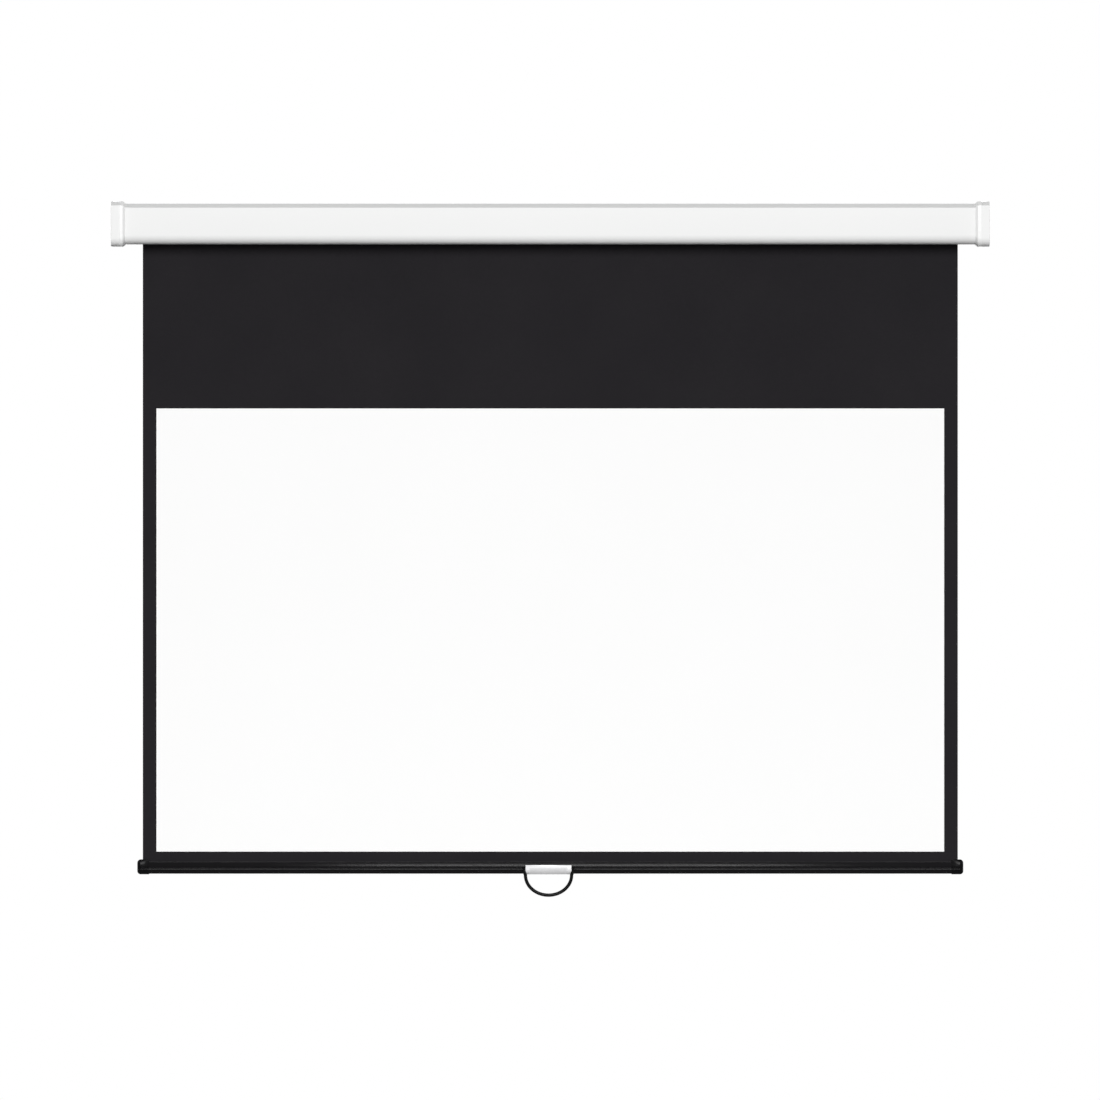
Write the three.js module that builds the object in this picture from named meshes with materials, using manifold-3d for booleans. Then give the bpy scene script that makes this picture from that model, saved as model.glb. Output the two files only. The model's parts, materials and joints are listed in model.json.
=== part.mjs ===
// Pull-down projection screen for a wall or ceiling, shown with its fabric drawn down.
// Lengths are millimetres. +X is the viewer's right, -Y faces the viewer and +Z is up.
// The origin is on the wall plane, midway between the two wall keyholes, at the height
// of the hanging screws.

import * as THREE from 'three';
import { mergeVertices } from 'three/addons/utils/BufferGeometryUtils.js';
import Module from 'manifold-3d';

const wasm = await Module();
wasm.setup();

// Projected picture and the black border round it
const pictureWidth = 1594;
const pictureHeight = 897;
const sideBorder = 27.6;
const leaderDrop = 332;
const bottomBorder = 20;

// Fabric layers
const baseThickness = 0.4;
const pictureThickness = 0.2;
const layerGap = 0.1;

// Clearances
const fit = 0.3;
const runningGap = 0.5;
const overrun = 5;
const mergeDistance = 1e-4;

// Case shell
const caseHeight = 82;
const caseDepth = 76;
const caseWall = 1;
const caseTopSlant = 6.5;
const caseBottomRadius = 14;
const caseBackRadius = 5;
const slotWidth = 14;
const slotLip = 6;
const fabricSideRoom = 39;
const keyholeAboveCentre = 8;

// End caps of the case
const capLength = 24.6;
const capProud = 4.8;
const capBackProud = 3;
const capWall = 2.4;
const capGrip = 6;
const capEdge = 2.5;
const capTopSlant = 5;
const capBottomRadius = 9;
const capBackRadius = 3;

// Steel brackets inside the caps
const bracketThickness = 2;
const bracketInset = 2;
const flangeLength = 18;
const wallFlangeHeight = 44;
const ceilingFlangeWidth = 34;
const keyholeEntryRadius = 5;
const keyholeSlotRadius = 2.6;
const keyholeDrop = 13;
const ceilingHoleRadius = 3.5;

// Countersunk screws through the ends of the caps
const screwHeadRadius = 3.5;
const screwShankRadius = 1.5;
const screwHeadDepth = 1.9;
const screwLength = 9;
const screwInset = 13;

// Roller
const tubeRadius = 19;
const tubeWall = 1;
const rollerRise = 6;
const rollerSetback = 36;
const wrapThickness = 0.9;
const tubeIdleGap = 14;
const tubeLockGap = 38;

// Idle end
const plugLength = 28;
const plugShoulder = 4;
const bushRadius = 7;
const bushFlangeRadius = 10;
const bushFlange = 2;
const pinRadius = 4;
const pinCollarRadius = 7;

// Fixed shaft and spring
const shaftRadius = 5;
const shaftCollarRadius = 8;
const shaftCollarLength = 4;
const tongueWidth = 5;
const tongueHeight = 8;
const springRadius = 12.6;
const springWireRadius = 1.2;
const springLength = 190;
const springTurns = 16;
const anchorLength = 6;

// Self-locking end: a notched wheel on the fixed shaft, and two pawls on the roller
const wheelRadius = 9.5;
const wheelLength = 4;
const notchFloorRadius = 6.3;
const notchMouthRadius = 10.5;
const notchAngles = [-17, -6, 14, 30];
const pawlPivot = [13.5, 5];
const pawlNose = [11.2, -1.5];
const pawlBossRadius = 2.4;
const pawlNoseRadius = 1.2;
const pawlPinRadius = 1.2;
const pawlPinHeadRadius = 2;
const pawlPinHead = 1.2;
const pawlPinDepth = 7;
const pawlLength = 3;
const pawlTurns = [80, 260];
const coverWall = 1.3;
const coverLength = 10;
const keeperLength = 3;
const keeperRadius = 9;

// Bottom bar
const barHeight = 24.4;
const barDepth = 17;
const barWall = 1.4;
const ridgeProud = 1.4;
const ridgeEdge = 1.2;
const grooveDrop = 12;
const grooveHalf = 0.9;
const barFootRadius = 2;
const hemSlotHalf = 1.1;
const hemChamberRadius = 3.3;
const hemChamberDrop = 6.2;
const rodRadius = 2;

// Bottom bar's end caps
const barCapReach = 11.2;
const barCapLength = 24;
const barCapDepth = 20;
const barCapAbove = 4.5;
const barCapBelow = 1.2;
const barCapWall = 3;
const barCapCorner = 6;
const barCapInnerCorner = 1.5;
const barCapEdge = 0.6;

// Pull handle
const handleOffset = -3.6;
const plateWidth = 92.6;
const plateTop = 6.9;
const plateThickness = 9;
const plateCorner = 1.2;
const plateTaper = 2.6;
const plateTaperHeight = 7.1;
const scoopWidth = 75;
const scoopDepth = 6;
const scoopTop = 12;
const bailWireRadius = 3.2;
const bailBendShare = 1.5;
const bailHalfWidth = 46.7;
const bailDrop = 67.7;
const bailShoulderDrop = 27;
const bailPivotDrop = 13.2;
const bailPinLength = 6;
const handleScrewSpread = 50;
const handleScrewRadius = 1.6;
const handleScrewHeadRadius = 3.4;
const handleScrewHead = 1.8;
const handleScrewDrop = 17.2;
const handleScrewBite = 4;

// Where things lie along X
const fabricHalf = pictureWidth / 2 + sideBorder;
const capInner = fabricHalf + fabricSideRoom;
const capOuter = capInner + capLength;
const shellEnd = capInner + capGrip;
const capWallInner = capOuter - capWall;
const plateOuter = capWallInner - fit;
const plateInner = plateOuter - bracketThickness;
const flangeInner = plateOuter - flangeLength;
const keyholeX = (shellEnd + plateInner) / 2;
const tubeRight = plateInner - tubeIdleGap;
const tubeLeft = tubeLockGap - plateInner;
const barCapOuter = fabricHalf + barCapReach;
const barCapInner = barCapOuter - barCapLength;
const barEnd = barCapOuter - barCapWall - fit;

// Where things lie along Y and Z
const caseCentreZ = -keyholeAboveCentre;
const caseTop = caseCentreZ + caseHeight / 2;
const caseBottom = caseTop - caseHeight;
const caseBack = -capBackProud;
const caseFront = caseBack - caseDepth;
const capTop = caseTop + capProud;
const capBottom = caseBottom - capProud;
const capFront = caseFront - capProud;
const rollerY = caseBack - rollerSetback;
const rollerZ = caseCentreZ + rollerRise;
const wrapInner = tubeRadius + fit;
const wrapRadius = wrapInner + wrapThickness;
const fabricFront = rollerY + wrapRadius + fit;
const fabricBack = fabricFront + baseThickness;
const fabricMid = (fabricFront + fabricBack) / 2;
const pictureTop = caseBottom - leaderDrop;
const borderTop = pictureTop - pictureHeight;
const barTop = borderTop - bottomBorder;
const barBottom = barTop - barHeight;
const barFront = fabricMid - barDepth / 2;
const barBack = fabricMid + barDepth / 2;
const hemZ = barTop - hemChamberDrop;
const plateBack = barFront - fit;
const plateFront = plateBack - plateThickness;
const bailY = (plateBack + plateFront) / 2;
const bailZ = barTop - bailPivotDrop;

// Facets of round pieces
const roundFacets = 32;
const smallFacets = 16;
const wireFacets = 8;
const springFacets = 6;
const springStepsPerTurn = 8;
const bailSteps = 56;
const arcSteps = 6;

const alongX = new THREE.Matrix4().makeBasis(
  new THREE.Vector3(0, 1, 0), new THREE.Vector3(0, 0, 1), new THREE.Vector3(1, 0, 0));
const alongY = new THREE.Matrix4().makeBasis(
  new THREE.Vector3(1, 0, 0), new THREE.Vector3(0, 0, 1), new THREE.Vector3(0, -1, 0));
const aboutX = new THREE.Matrix4().makeBasis(
  new THREE.Vector3(0, 1, 0), new THREE.Vector3(1, 0, 0), new THREE.Vector3(0, 0, -1));

// A closed solid of a geometry whose shared corners are joined
function solidOf(geometry) {
  const bare = geometry.clone();
  bare.deleteAttribute('normal');
  bare.deleteAttribute('uv');
  const merged = mergeVertices(bare, mergeDistance);
  const corners = [];
  const index = merged.index.array;
  for (let i = 0; i < index.length; i += 3) {
    const [a, b, c] = [index[i], index[i + 1], index[i + 2]];
    if (a !== b && b !== c && c !== a) corners.push(a, b, c);
  }
  return new wasm.Manifold(new wasm.Mesh({
    numProp: 3,
    vertProperties: new Float32Array(merged.attributes.position.array),
    triVerts: new Uint32Array(corners),
  }));
}

function geometryOf(solid) {
  const { vertProperties, triVerts } = solid.getMesh();
  const geometry = new THREE.BufferGeometry();
  geometry.setAttribute('position', new THREE.BufferAttribute(vertProperties, 3));
  geometry.setIndex(new THREE.BufferAttribute(triVerts, 1));
  const faceted = geometry.toNonIndexed();
  faceted.computeVertexNormals();
  return faceted;
}

function join(...solids) {
  return solids.reduce((whole, solid) => whole.add(solid));
}

function cut(solid, ...tools) {
  return tools.reduce((rest, tool) => rest.subtract(tool), solid);
}

function block(x0, x1, y0, y1, z0, z1) {
  const geometry = new THREE.BoxGeometry(x1 - x0, y1 - y0, z1 - z0);
  geometry.translate((x0 + x1) / 2, (y0 + y1) / 2, (z0 + z1) / 2);
  return solidOf(geometry);
}

// Extrudes a shape drawn in (y, z) from one x to another
function alongXFrom(x0, x1, shape, curveSegments = arcSteps) {
  const geometry = new THREE.ExtrudeGeometry(shape, {
    depth: x1 - x0, bevelEnabled: false, curveSegments });
  geometry.translate(0, 0, x0);
  geometry.applyMatrix4(alongX);
  return solidOf(geometry);
}

// Extrudes a shape drawn in (x, z) from a back y towards the viewer
function towardsViewer(back, depth, shape, curveSegments = arcSteps) {
  const geometry = new THREE.ExtrudeGeometry(shape, {
    depth, bevelEnabled: false, curveSegments });
  geometry.applyMatrix4(alongY);
  geometry.translate(0, back, 0);
  return solidOf(geometry);
}

// Turns a profile of [x, radius] points round an axis parallel to X
function turned(profile, y, z, facets = roundFacets) {
  const points = profile.map(([x, radius]) => new THREE.Vector2(radius, x));
  const onAxis = points[0].x === 0 && points[points.length - 1].x === 0;
  if (THREE.ShapeUtils.isClockWise(points)) points.reverse();
  if (!onAxis) points.push(points[0].clone());
  const geometry = new THREE.LatheGeometry(points, facets);
  geometry.applyMatrix4(aboutX);
  geometry.translate(0, y, z);
  return solidOf(geometry);
}

function disc(x0, x1, radius, y, z, facets = roundFacets) {
  return turned([[x0, 0], [x0, radius], [x1, radius], [x1, 0]], y, z, facets);
}

function ring(x0, x1, inner, outer, y, z, facets = roundFacets) {
  return turned([[x0, inner], [x0, outer], [x1, outer], [x1, inner]], y, z, facets);
}

function roundedRectangle(u0, u1, v0, v1, lowLeft, lowRight, highRight, highLeft) {
  const shape = new THREE.Shape();
  const quarter = Math.PI / 2;
  shape.absarc(u0 + lowLeft, v0 + lowLeft, lowLeft, 2 * quarter, 3 * quarter);
  shape.absarc(u1 - lowRight, v0 + lowRight, lowRight, 3 * quarter, 4 * quarter);
  shape.absarc(u1 - highRight, v1 - highRight, highRight, 0, quarter);
  shape.absarc(u0 + highLeft, v1 - highLeft, highLeft, quarter, 2 * quarter);
  return shape;
}

// A section in (y, z), grown or shrunk by an offset, with a slanted upper front edge
function slantedSection(front, back, bottom, top, frontRadius, backRadius, slant, offset) {
  const shape = new THREE.Shape();
  const quarter = Math.PI / 2;
  const foot = frontRadius + offset;
  const heel = backRadius + offset;
  const slope = slant + (2 - Math.SQRT2) * offset;
  shape.absarc(front - offset + foot, bottom - offset + foot, foot, 2 * quarter, 3 * quarter);
  shape.absarc(back + offset - heel, bottom - offset + heel, heel, 3 * quarter, 4 * quarter);
  shape.absarc(back + offset - heel, top + offset - heel, heel, 0, quarter);
  shape.lineTo(front - offset + slope, top + offset);
  shape.lineTo(front - offset, top + offset - slope);
  return shape;
}

function caseOutline(offset) {
  return slantedSection(
    caseFront, caseBack, caseBottom, caseTop, caseBottomRadius, caseBackRadius, caseTopSlant, offset);
}

function mirrored(solid) {
  return solid.mirror([1, 0, 0]);
}

function sided(solid, side) {
  return side < 0 ? mirrored(solid) : solid;
}

const group = new THREE.Group();

function addPiece(name, material, solid) {
  const mesh = new THREE.Mesh(geometryOf(solid), material());
  mesh.name = name;
  group.add(mesh);
}

function surface(color, roughness, metalness) {
  return new THREE.MeshStandardMaterial({ color, roughness, metalness });
}

const whitePaint = () => surface(0xf3f4f3, 0.4, 0.1);
const whitePlastic = () => surface(0xf4f4f2, 0.45, 0);
const zincSteel = () => surface(0xb9bcc0, 0.4, 1);
const brightSteel = () => surface(0xc9cbce, 0.25, 1);
const springSteel = () => surface(0x6d6f74, 0.35, 1);
const tubeAluminium = () => surface(0xc4c6c8, 0.4, 1);
const greyNylon = () => surface(0x8d9094, 0.55, 0);
const blackNylon = () => surface(0x202124, 0.5, 0);
const blackPaint = () => surface(0x1c1b1f, 0.3, 0.3);
const blackFabric = () => surface(0x242225, 0.85, 0);
const whiteFabric = () => surface(0xfbfbfa, 0.9, 0);

// Rolled sheet shell, open along a slot underneath with its edges turned up
function caseShell() {
  const slot0 = fabricMid - slotWidth / 2;
  const slot1 = fabricMid + slotWidth / 2;
  const lipTop = caseBottom + caseWall + slotLip;
  const hollow = alongXFrom(-shellEnd - overrun, shellEnd + overrun, caseOutline(-caseWall));
  const skin = cut(alongXFrom(-shellEnd, shellEnd, caseOutline(0)), hollow);
  const slot = block(
    -shellEnd - overrun, shellEnd + overrun, slot0, slot1, caseBottom - overrun, lipTop + overrun);
  const frontLip = block(-shellEnd, shellEnd, slot0 - caseWall, slot0, caseBottom, lipTop);
  const backLip = block(-shellEnd, shellEnd, slot1, slot1 + caseWall, caseBottom, lipTop);
  return join(cut(skin, slot), frontLip, backLip);
}

function screwPlaces() {
  return [caseTop - screwInset, caseBottom + screwInset];
}

// Moulded cap over the end of the shell, with windows for the bracket's flanges
function endCap(side) {
  const profile = (offset) => slantedSection(
    capFront, 0, capBottom, capTop, capBottomRadius, capBackRadius, capTopSlant, offset);
  const sides = alongXFrom(capInner, capOuter - capEdge / 2, profile(0));
  const face = alongXFrom(capInner, capOuter, profile(-capEdge / 2));
  const socket = alongXFrom(capInner - overrun, shellEnd + fit, caseOutline(fit));
  const pocket = alongXFrom(capInner, capWallInner, caseOutline(-caseWall));
  const wallWindow = block(
    flangeInner - fit, capWallInner, caseBack - overrun, overrun,
    caseCentreZ - wallFlangeHeight / 2 - fit, caseCentreZ + wallFlangeHeight / 2 + fit);
  const ceilingWindow = block(
    flangeInner - fit, capWallInner, rollerY - ceilingFlangeWidth / 2 - fit,
    rollerY + ceilingFlangeWidth / 2 + fit, caseTop - overrun, capTop + overrun);
  const body = cut(join(sides, face), socket, pocket, wallWindow, ceilingWindow);
  const sinks = screwPlaces().map((z) => turned([
    [capWallInner - overrun, 0], [capWallInner - overrun, screwShankRadius + fit],
    [capOuter - screwHeadDepth, screwShankRadius + fit], [capOuter, screwHeadRadius + fit],
    [capOuter + overrun, screwHeadRadius + fit], [capOuter + overrun, 0],
  ], rollerY, z, smallFacets));
  return sided(cut(body, ...sinks), side);
}

// Folded steel bracket: an upright plate, a wall flange behind and a ceiling flange on top
function endBracket(side) {
  const upright = alongXFrom(plateInner, plateOuter, caseOutline(-caseWall - bracketInset));
  const wall0 = caseCentreZ - wallFlangeHeight / 2;
  const wall1 = caseCentreZ + wallFlangeHeight / 2;
  const ceiling0 = rollerY - ceilingFlangeWidth / 2;
  const ceiling1 = rollerY + ceilingFlangeWidth / 2;
  const plateBackY = caseBack - caseWall - bracketInset - overrun;
  const plateTopZ = caseTop - caseWall - bracketInset - overrun;
  const wallNeck = block(plateInner, plateOuter, plateBackY, 0, wall0, wall1);
  const wallFlange = block(flangeInner, plateOuter, -bracketThickness, 0, wall0, wall1);
  const ceilingNeck = block(plateInner, plateOuter, ceiling0, ceiling1, plateTopZ, capTop);
  const ceilingFlange = block(
    flangeInner, plateOuter, ceiling0, ceiling1, capTop - bracketThickness, capTop);
  const keyhole = join(
    keyholeRound(keyholeEntryRadius, -keyholeDrop),
    keyholeRound(keyholeSlotRadius, 0),
    block(keyholeX - keyholeSlotRadius, keyholeX + keyholeSlotRadius,
      -bracketThickness - overrun, overrun, -keyholeDrop, 0));
  const ceilingHole = uprightHole(ceilingHoleRadius);
  const threads = screwPlaces().map((z) => disc(
    plateInner - overrun, plateOuter + overrun, screwShankRadius + fit, rollerY, z, smallFacets));
  const rollerSeat = side < 0 ? tongueSlot() : disc(
    plateInner - overrun, plateOuter + overrun, pinRadius + fit, rollerY, rollerZ, smallFacets);
  const folded = join(upright, wallNeck, wallFlange, ceilingNeck, ceilingFlange);
  return sided(cut(folded, keyhole, ceilingHole, rollerSeat, ...threads), side);
}

function keyholeRound(radius, z) {
  const circle = new THREE.Shape();
  circle.absarc(keyholeX, z, radius, 0, 2 * Math.PI);
  return towardsViewer(overrun, bracketThickness + 2 * overrun, circle, smallFacets);
}

function uprightHole(radius) {
  const depth = bracketThickness + 2 * overrun;
  const geometry = new THREE.CylinderGeometry(radius, radius, depth, smallFacets);
  geometry.rotateX(Math.PI / 2);
  geometry.translate(keyholeX, rollerY, capTop - bracketThickness / 2);
  return solidOf(geometry);
}

function tongueSlot() {
  return block(
    plateInner - overrun, plateOuter + overrun,
    rollerY - tongueWidth / 2 - fit, rollerY + tongueWidth / 2 + fit,
    rollerZ - tongueHeight / 2 - fit, rollerZ + tongueHeight / 2 + fit);
}

// Countersunk screw that holds a cap to its bracket
function capScrew(side, z) {
  const screw = turned([
    [capOuter - screwLength, 0], [capOuter - screwLength, screwShankRadius],
    [capOuter - screwHeadDepth, screwShankRadius], [capOuter, screwHeadRadius], [capOuter, 0],
  ], rollerY, z, smallFacets);
  return sided(screw, side);
}

function rollerTube() {
  return ring(tubeLeft, tubeRight, tubeRadius - tubeWall, tubeRadius, rollerY, rollerZ);
}

// The turns of fabric that stay on the roller when the screen is fully down
function fabricWrap() {
  return ring(-fabricHalf, fabricHalf, wrapInner, wrapRadius, rollerY, rollerZ);
}

const plugRadius = tubeRadius - tubeWall - fit;
const shoulderRadius = tubeRadius - fit;
const shoulderRight = tubeRight + fit + plugShoulder;
const shoulderLeft = tubeLeft - fit - plugShoulder;

function idlePlug() {
  return turned([
    [tubeRight - plugLength, bushRadius + fit], [tubeRight - plugLength, plugRadius],
    [tubeRight + fit, plugRadius], [tubeRight + fit, shoulderRadius],
    [shoulderRight, shoulderRadius], [shoulderRight, bushRadius + fit],
  ], rollerY, rollerZ);
}

const idleBushEnd = shoulderRight + fit + bushFlange;

function idleBush() {
  return turned([
    [tubeRight - plugLength, pinRadius + fit], [tubeRight - plugLength, bushRadius],
    [shoulderRight + fit, bushRadius], [shoulderRight + fit, bushFlangeRadius],
    [idleBushEnd, bushFlangeRadius], [idleBushEnd, pinRadius + fit],
  ], rollerY, rollerZ, roundFacets);
}

// Fixed pin that the idle end of the roller turns on
function gudgeonPin() {
  return turned([
    [tubeRight - plugLength, 0], [tubeRight - plugLength, pinRadius],
    [idleBushEnd + runningGap, pinRadius], [idleBushEnd + runningGap, pinCollarRadius],
    [plateInner - fit, pinCollarRadius], [plateInner - fit, pinRadius],
    [plateOuter, pinRadius], [plateOuter, 0],
  ], rollerY, rollerZ, smallFacets);
}

const hubInner = tubeLeft + plugLength;
const lockFace = shoulderLeft - runningGap;
const wheelEnd = lockFace - wheelLength;
const springStart = hubInner + fit + springWireRadius;
const springEnd = springStart + springLength;
const anchorStart = springEnd + springWireRadius + fit;
const shaftEnd = anchorStart + anchorLength;

function lockPoint([u, v], turn) {
  const angle = THREE.MathUtils.degToRad(turn);
  return [
    rollerY + u * Math.cos(angle) - v * Math.sin(angle),
    rollerZ + u * Math.sin(angle) + v * Math.cos(angle),
  ];
}

// Plug in the lock end of the tube, which carries the pawls on its outer face
function springHub() {
  const body = turned([
    [shoulderLeft, bushRadius + fit], [shoulderLeft, shoulderRadius],
    [tubeLeft - fit, shoulderRadius], [tubeLeft - fit, plugRadius],
    [hubInner, plugRadius], [hubInner, bushRadius + fit],
  ], rollerY, rollerZ);
  const holeEnd = shoulderLeft + pawlPinDepth + fit;
  const pinHoles = pawlTurns.map((turn) => {
    const [y, z] = lockPoint(pawlPivot, turn);
    return disc(shoulderLeft - overrun, holeEnd, pawlPinRadius + fit, y, z, smallFacets);
  });
  return cut(body, ...pinHoles);
}

function shaftBush() {
  return ring(shoulderLeft, hubInner, shaftRadius + fit, bushRadius, rollerY, rollerZ);
}

// Shaft that never turns: its tongue sits in the bracket, and the spring winds round it
function springShaft() {
  const round = turned([
    [fit - plateInner, 0], [fit - plateInner, shaftCollarRadius],
    [fit - plateInner + shaftCollarLength, shaftCollarRadius],
    [fit - plateInner + shaftCollarLength, shaftRadius],
    [shaftEnd, shaftRadius], [shaftEnd, 0],
  ], rollerY, rollerZ);
  const tongue = block(
    -plateOuter, fit - plateInner + shaftCollarLength / 2,
    rollerY - tongueWidth / 2, rollerY + tongueWidth / 2,
    rollerZ - tongueHeight / 2, rollerZ + tongueHeight / 2);
  return join(round, tongue);
}

function springAnchor() {
  return ring(anchorStart, anchorStart + anchorLength, shaftRadius + fit,
    tubeRadius - tubeWall - runningGap, rollerY, rollerZ);
}

// Helical spring between the hub and the anchor on the fixed shaft
function torsionSpring() {
  class Helix extends THREE.Curve {
    getPoint(share, target = new THREE.Vector3()) {
      const angle = share * springTurns * 2 * Math.PI;
      return target.set(
        springStart + share * springLength,
        rollerY + springRadius * Math.cos(angle),
        rollerZ + springRadius * Math.sin(angle));
    }
  }
  const section = new THREE.Shape();
  section.absarc(0, 0, springWireRadius, 0, 2 * Math.PI);
  return solidOf(new THREE.ExtrudeGeometry(section, {
    steps: springTurns * springStepsPerTurn,
    extrudePath: new Helix(),
    curveSegments: springFacets / 2,
  }));
}

function notchedWheel() {
  const wheel = ring(wheelEnd, lockFace, shaftRadius + fit, wheelRadius, rollerY, rollerZ);
  const notches = pawlTurns.map((turn) => {
    const radii = [notchMouthRadius, notchFloorRadius, notchFloorRadius, notchMouthRadius];
    const shape = new THREE.Shape(notchAngles.map((angle, i) => {
      const bearing = THREE.MathUtils.degToRad(angle);
      const local = [radii[i] * Math.cos(bearing), radii[i] * Math.sin(bearing)];
      return new THREE.Vector2(...lockPoint(local, turn));
    }));
    return alongXFrom(wheelEnd - overrun, lockFace + overrun, shape);
  });
  return cut(wheel, ...notches);
}

const pawlInner = lockFace - fit;
const pawlOuter = pawlInner - pawlLength;

// Pawl at its released end of travel: a boss on the pin that tapers to a round nose
function pawl(turn) {
  const [py, pz] = lockPoint(pawlPivot, turn);
  const [ny, nz] = lockPoint(pawlNose, turn);
  const heading = Math.atan2(nz - pz, ny - py);
  const reach = Math.hypot(ny - py, nz - pz);
  const lean = Math.acos((pawlBossRadius - pawlNoseRadius) / reach);
  const shape = new THREE.Shape();
  shape.absarc(ny, nz, pawlNoseRadius, heading - lean, heading + lean);
  shape.absarc(py, pz, pawlBossRadius, heading + lean, heading - lean + 2 * Math.PI);
  const hole = disc(pawlOuter - overrun, pawlInner + overrun, pawlPinRadius + fit, py, pz, smallFacets);
  return cut(alongXFrom(pawlOuter, pawlInner, shape), hole);
}

function pawlPin(turn) {
  const [y, z] = lockPoint(pawlPivot, turn);
  const head = pawlOuter - fit - pawlPinHead;
  return turned([
    [head, 0], [head, pawlPinHeadRadius], [pawlOuter - fit, pawlPinHeadRadius],
    [pawlOuter - fit, pawlPinRadius], [shoulderLeft + pawlPinDepth, pawlPinRadius],
    [shoulderLeft + pawlPinDepth, 0],
  ], y, z, smallFacets);
}

const coverOpenEnd = shoulderLeft - fit;
const coverClosedEnd = coverOpenEnd - coverLength;

// Cup over the pawls, fixed to the hub and open round the shaft
function lockCover() {
  return turned([
    [coverOpenEnd, shoulderRadius], [coverClosedEnd, shoulderRadius],
    [coverClosedEnd, bushRadius], [coverClosedEnd + coverWall, bushRadius],
    [coverClosedEnd + coverWall, shoulderRadius - coverWall],
    [coverOpenEnd, shoulderRadius - coverWall],
  ], rollerY, rollerZ);
}

// Collar on the shaft that keeps the roller from sliding towards the bracket
function shaftKeeper() {
  const end = coverClosedEnd - runningGap;
  return ring(end - keeperLength, end, shaftRadius + fit, keeperRadius, rollerY, rollerZ);
}

// Black sheet that hangs from the roller and carries the leader, side borders and backing
function fabricBase() {
  return block(-fabricHalf, fabricHalf, fabricFront, fabricBack, borderTop + fit, rollerZ);
}

function pictureSurface() {
  const back = fabricFront - layerGap;
  return block(
    -pictureWidth / 2, pictureWidth / 2, back - pictureThickness, back, borderTop + fit, pictureTop);
}

// Last stretch of the sheet, below the picture, whose hem loops round a rod inside the bar
function bottomBorderStrip() {
  const inner = rodRadius + fit;
  const strip = block(
    -fabricHalf, fabricHalf, fabricFront, fabricBack, hemZ + inner + baseThickness / 2, borderTop);
  const hem = ring(-fabricHalf, fabricHalf, inner, inner + baseThickness, fabricMid, hemZ, smallFacets);
  return join(strip, hem);
}

function hemRod() {
  return disc(-fabricHalf, fabricHalf, rodRadius, fabricMid, hemZ, smallFacets);
}

// Extruded bar: two rounded ridges on its front, a hem channel on top and a hollow below
function barShape() {
  const front = barFront + ridgeProud;
  const grooveZ = barTop - grooveDrop;
  const swell = barFront - ridgeProud;
  const mouth = Math.asin(hemSlotHalf / hemChamberRadius);
  const shape = new THREE.Shape();
  shape.moveTo(front, barTop);
  shape.lineTo(front, barTop - ridgeEdge);
  shape.quadraticCurveTo(
    swell, (barTop - ridgeEdge + grooveZ + grooveHalf) / 2, front, grooveZ + grooveHalf);
  shape.lineTo(front, grooveZ - grooveHalf);
  shape.quadraticCurveTo(
    swell, (grooveZ - grooveHalf + barBottom + ridgeEdge) / 2, front, barBottom + ridgeEdge);
  shape.lineTo(front + ridgeEdge, barBottom);
  shape.lineTo(barBack - barFootRadius, barBottom);
  shape.absarc(barBack - barFootRadius, barBottom + barFootRadius, barFootRadius, -Math.PI / 2, 0);
  shape.absarc(barBack - barFootRadius, barTop - barFootRadius, barFootRadius, 0, Math.PI / 2);
  shape.lineTo(fabricMid + hemSlotHalf, barTop);
  shape.absarc(fabricMid, hemZ, hemChamberRadius, Math.PI / 2 - mouth, mouth - 1.5 * Math.PI, true);
  shape.lineTo(fabricMid - hemSlotHalf, barTop);
  return shape;
}

function bottomBar() {
  const hollowTop = hemZ - hemChamberRadius - barWall;
  const hollow = roundedRectangle(
    barFront + ridgeProud + barWall, barBack - barWall, barBottom + barWall, hollowTop,
    barWall, barWall, barWall, barWall);
  const body = cut(
    alongXFrom(-barEnd, barEnd, barShape()),
    alongXFrom(-barEnd - overrun, barEnd + overrun, hollow));
  const holes = handleScrewPlaces().map((x) => screwHole(x, barFront - overrun, barBack + overrun));
  return cut(body, ...holes);
}

function handleScrewPlaces() {
  return [handleOffset - handleScrewSpread / 2, handleOffset + handleScrewSpread / 2];
}

function screwHole(x, y0, y1) {
  return pegAlongY(x, barTop - handleScrewDrop, y0, y1, handleScrewRadius + fit);
}

function pegAlongY(x, z, y0, y1, radius) {
  const geometry = new THREE.CylinderGeometry(radius, radius, y1 - y0, smallFacets);
  geometry.translate(x, (y0 + y1) / 2, z);
  return solidOf(geometry);
}

// Moulded cap over the end of the bar, slit on top where the fabric's edge goes in
function barCap(side) {
  const low = barBottom - barCapBelow;
  const high = barTop + barCapAbove;
  const outline = (inset) => roundedRectangle(
    barCapInner + inset, barCapOuter - inset, low + inset, high - inset,
    barCapInnerCorner, barCapCorner - inset, barCapCorner - inset, barCapInnerCorner);
  const back = fabricMid + barCapDepth / 2;
  const body = join(
    towardsViewer(back - barCapEdge, barCapDepth - 2 * barCapEdge, outline(0)),
    towardsViewer(back, barCapDepth, outline(barCapEdge)));
  const socket = block(
    barCapInner - overrun, barEnd + fit, barFront - fit, barBack + fit, barBottom - fit, barTop + fit);
  const slit = block(
    barCapInner - overrun, fabricHalf + fit, fabricMid - hemSlotHalf, fabricMid + hemSlotHalf,
    barTop, high + overrun);
  return sided(cut(body, socket, slit), side);
}

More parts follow.
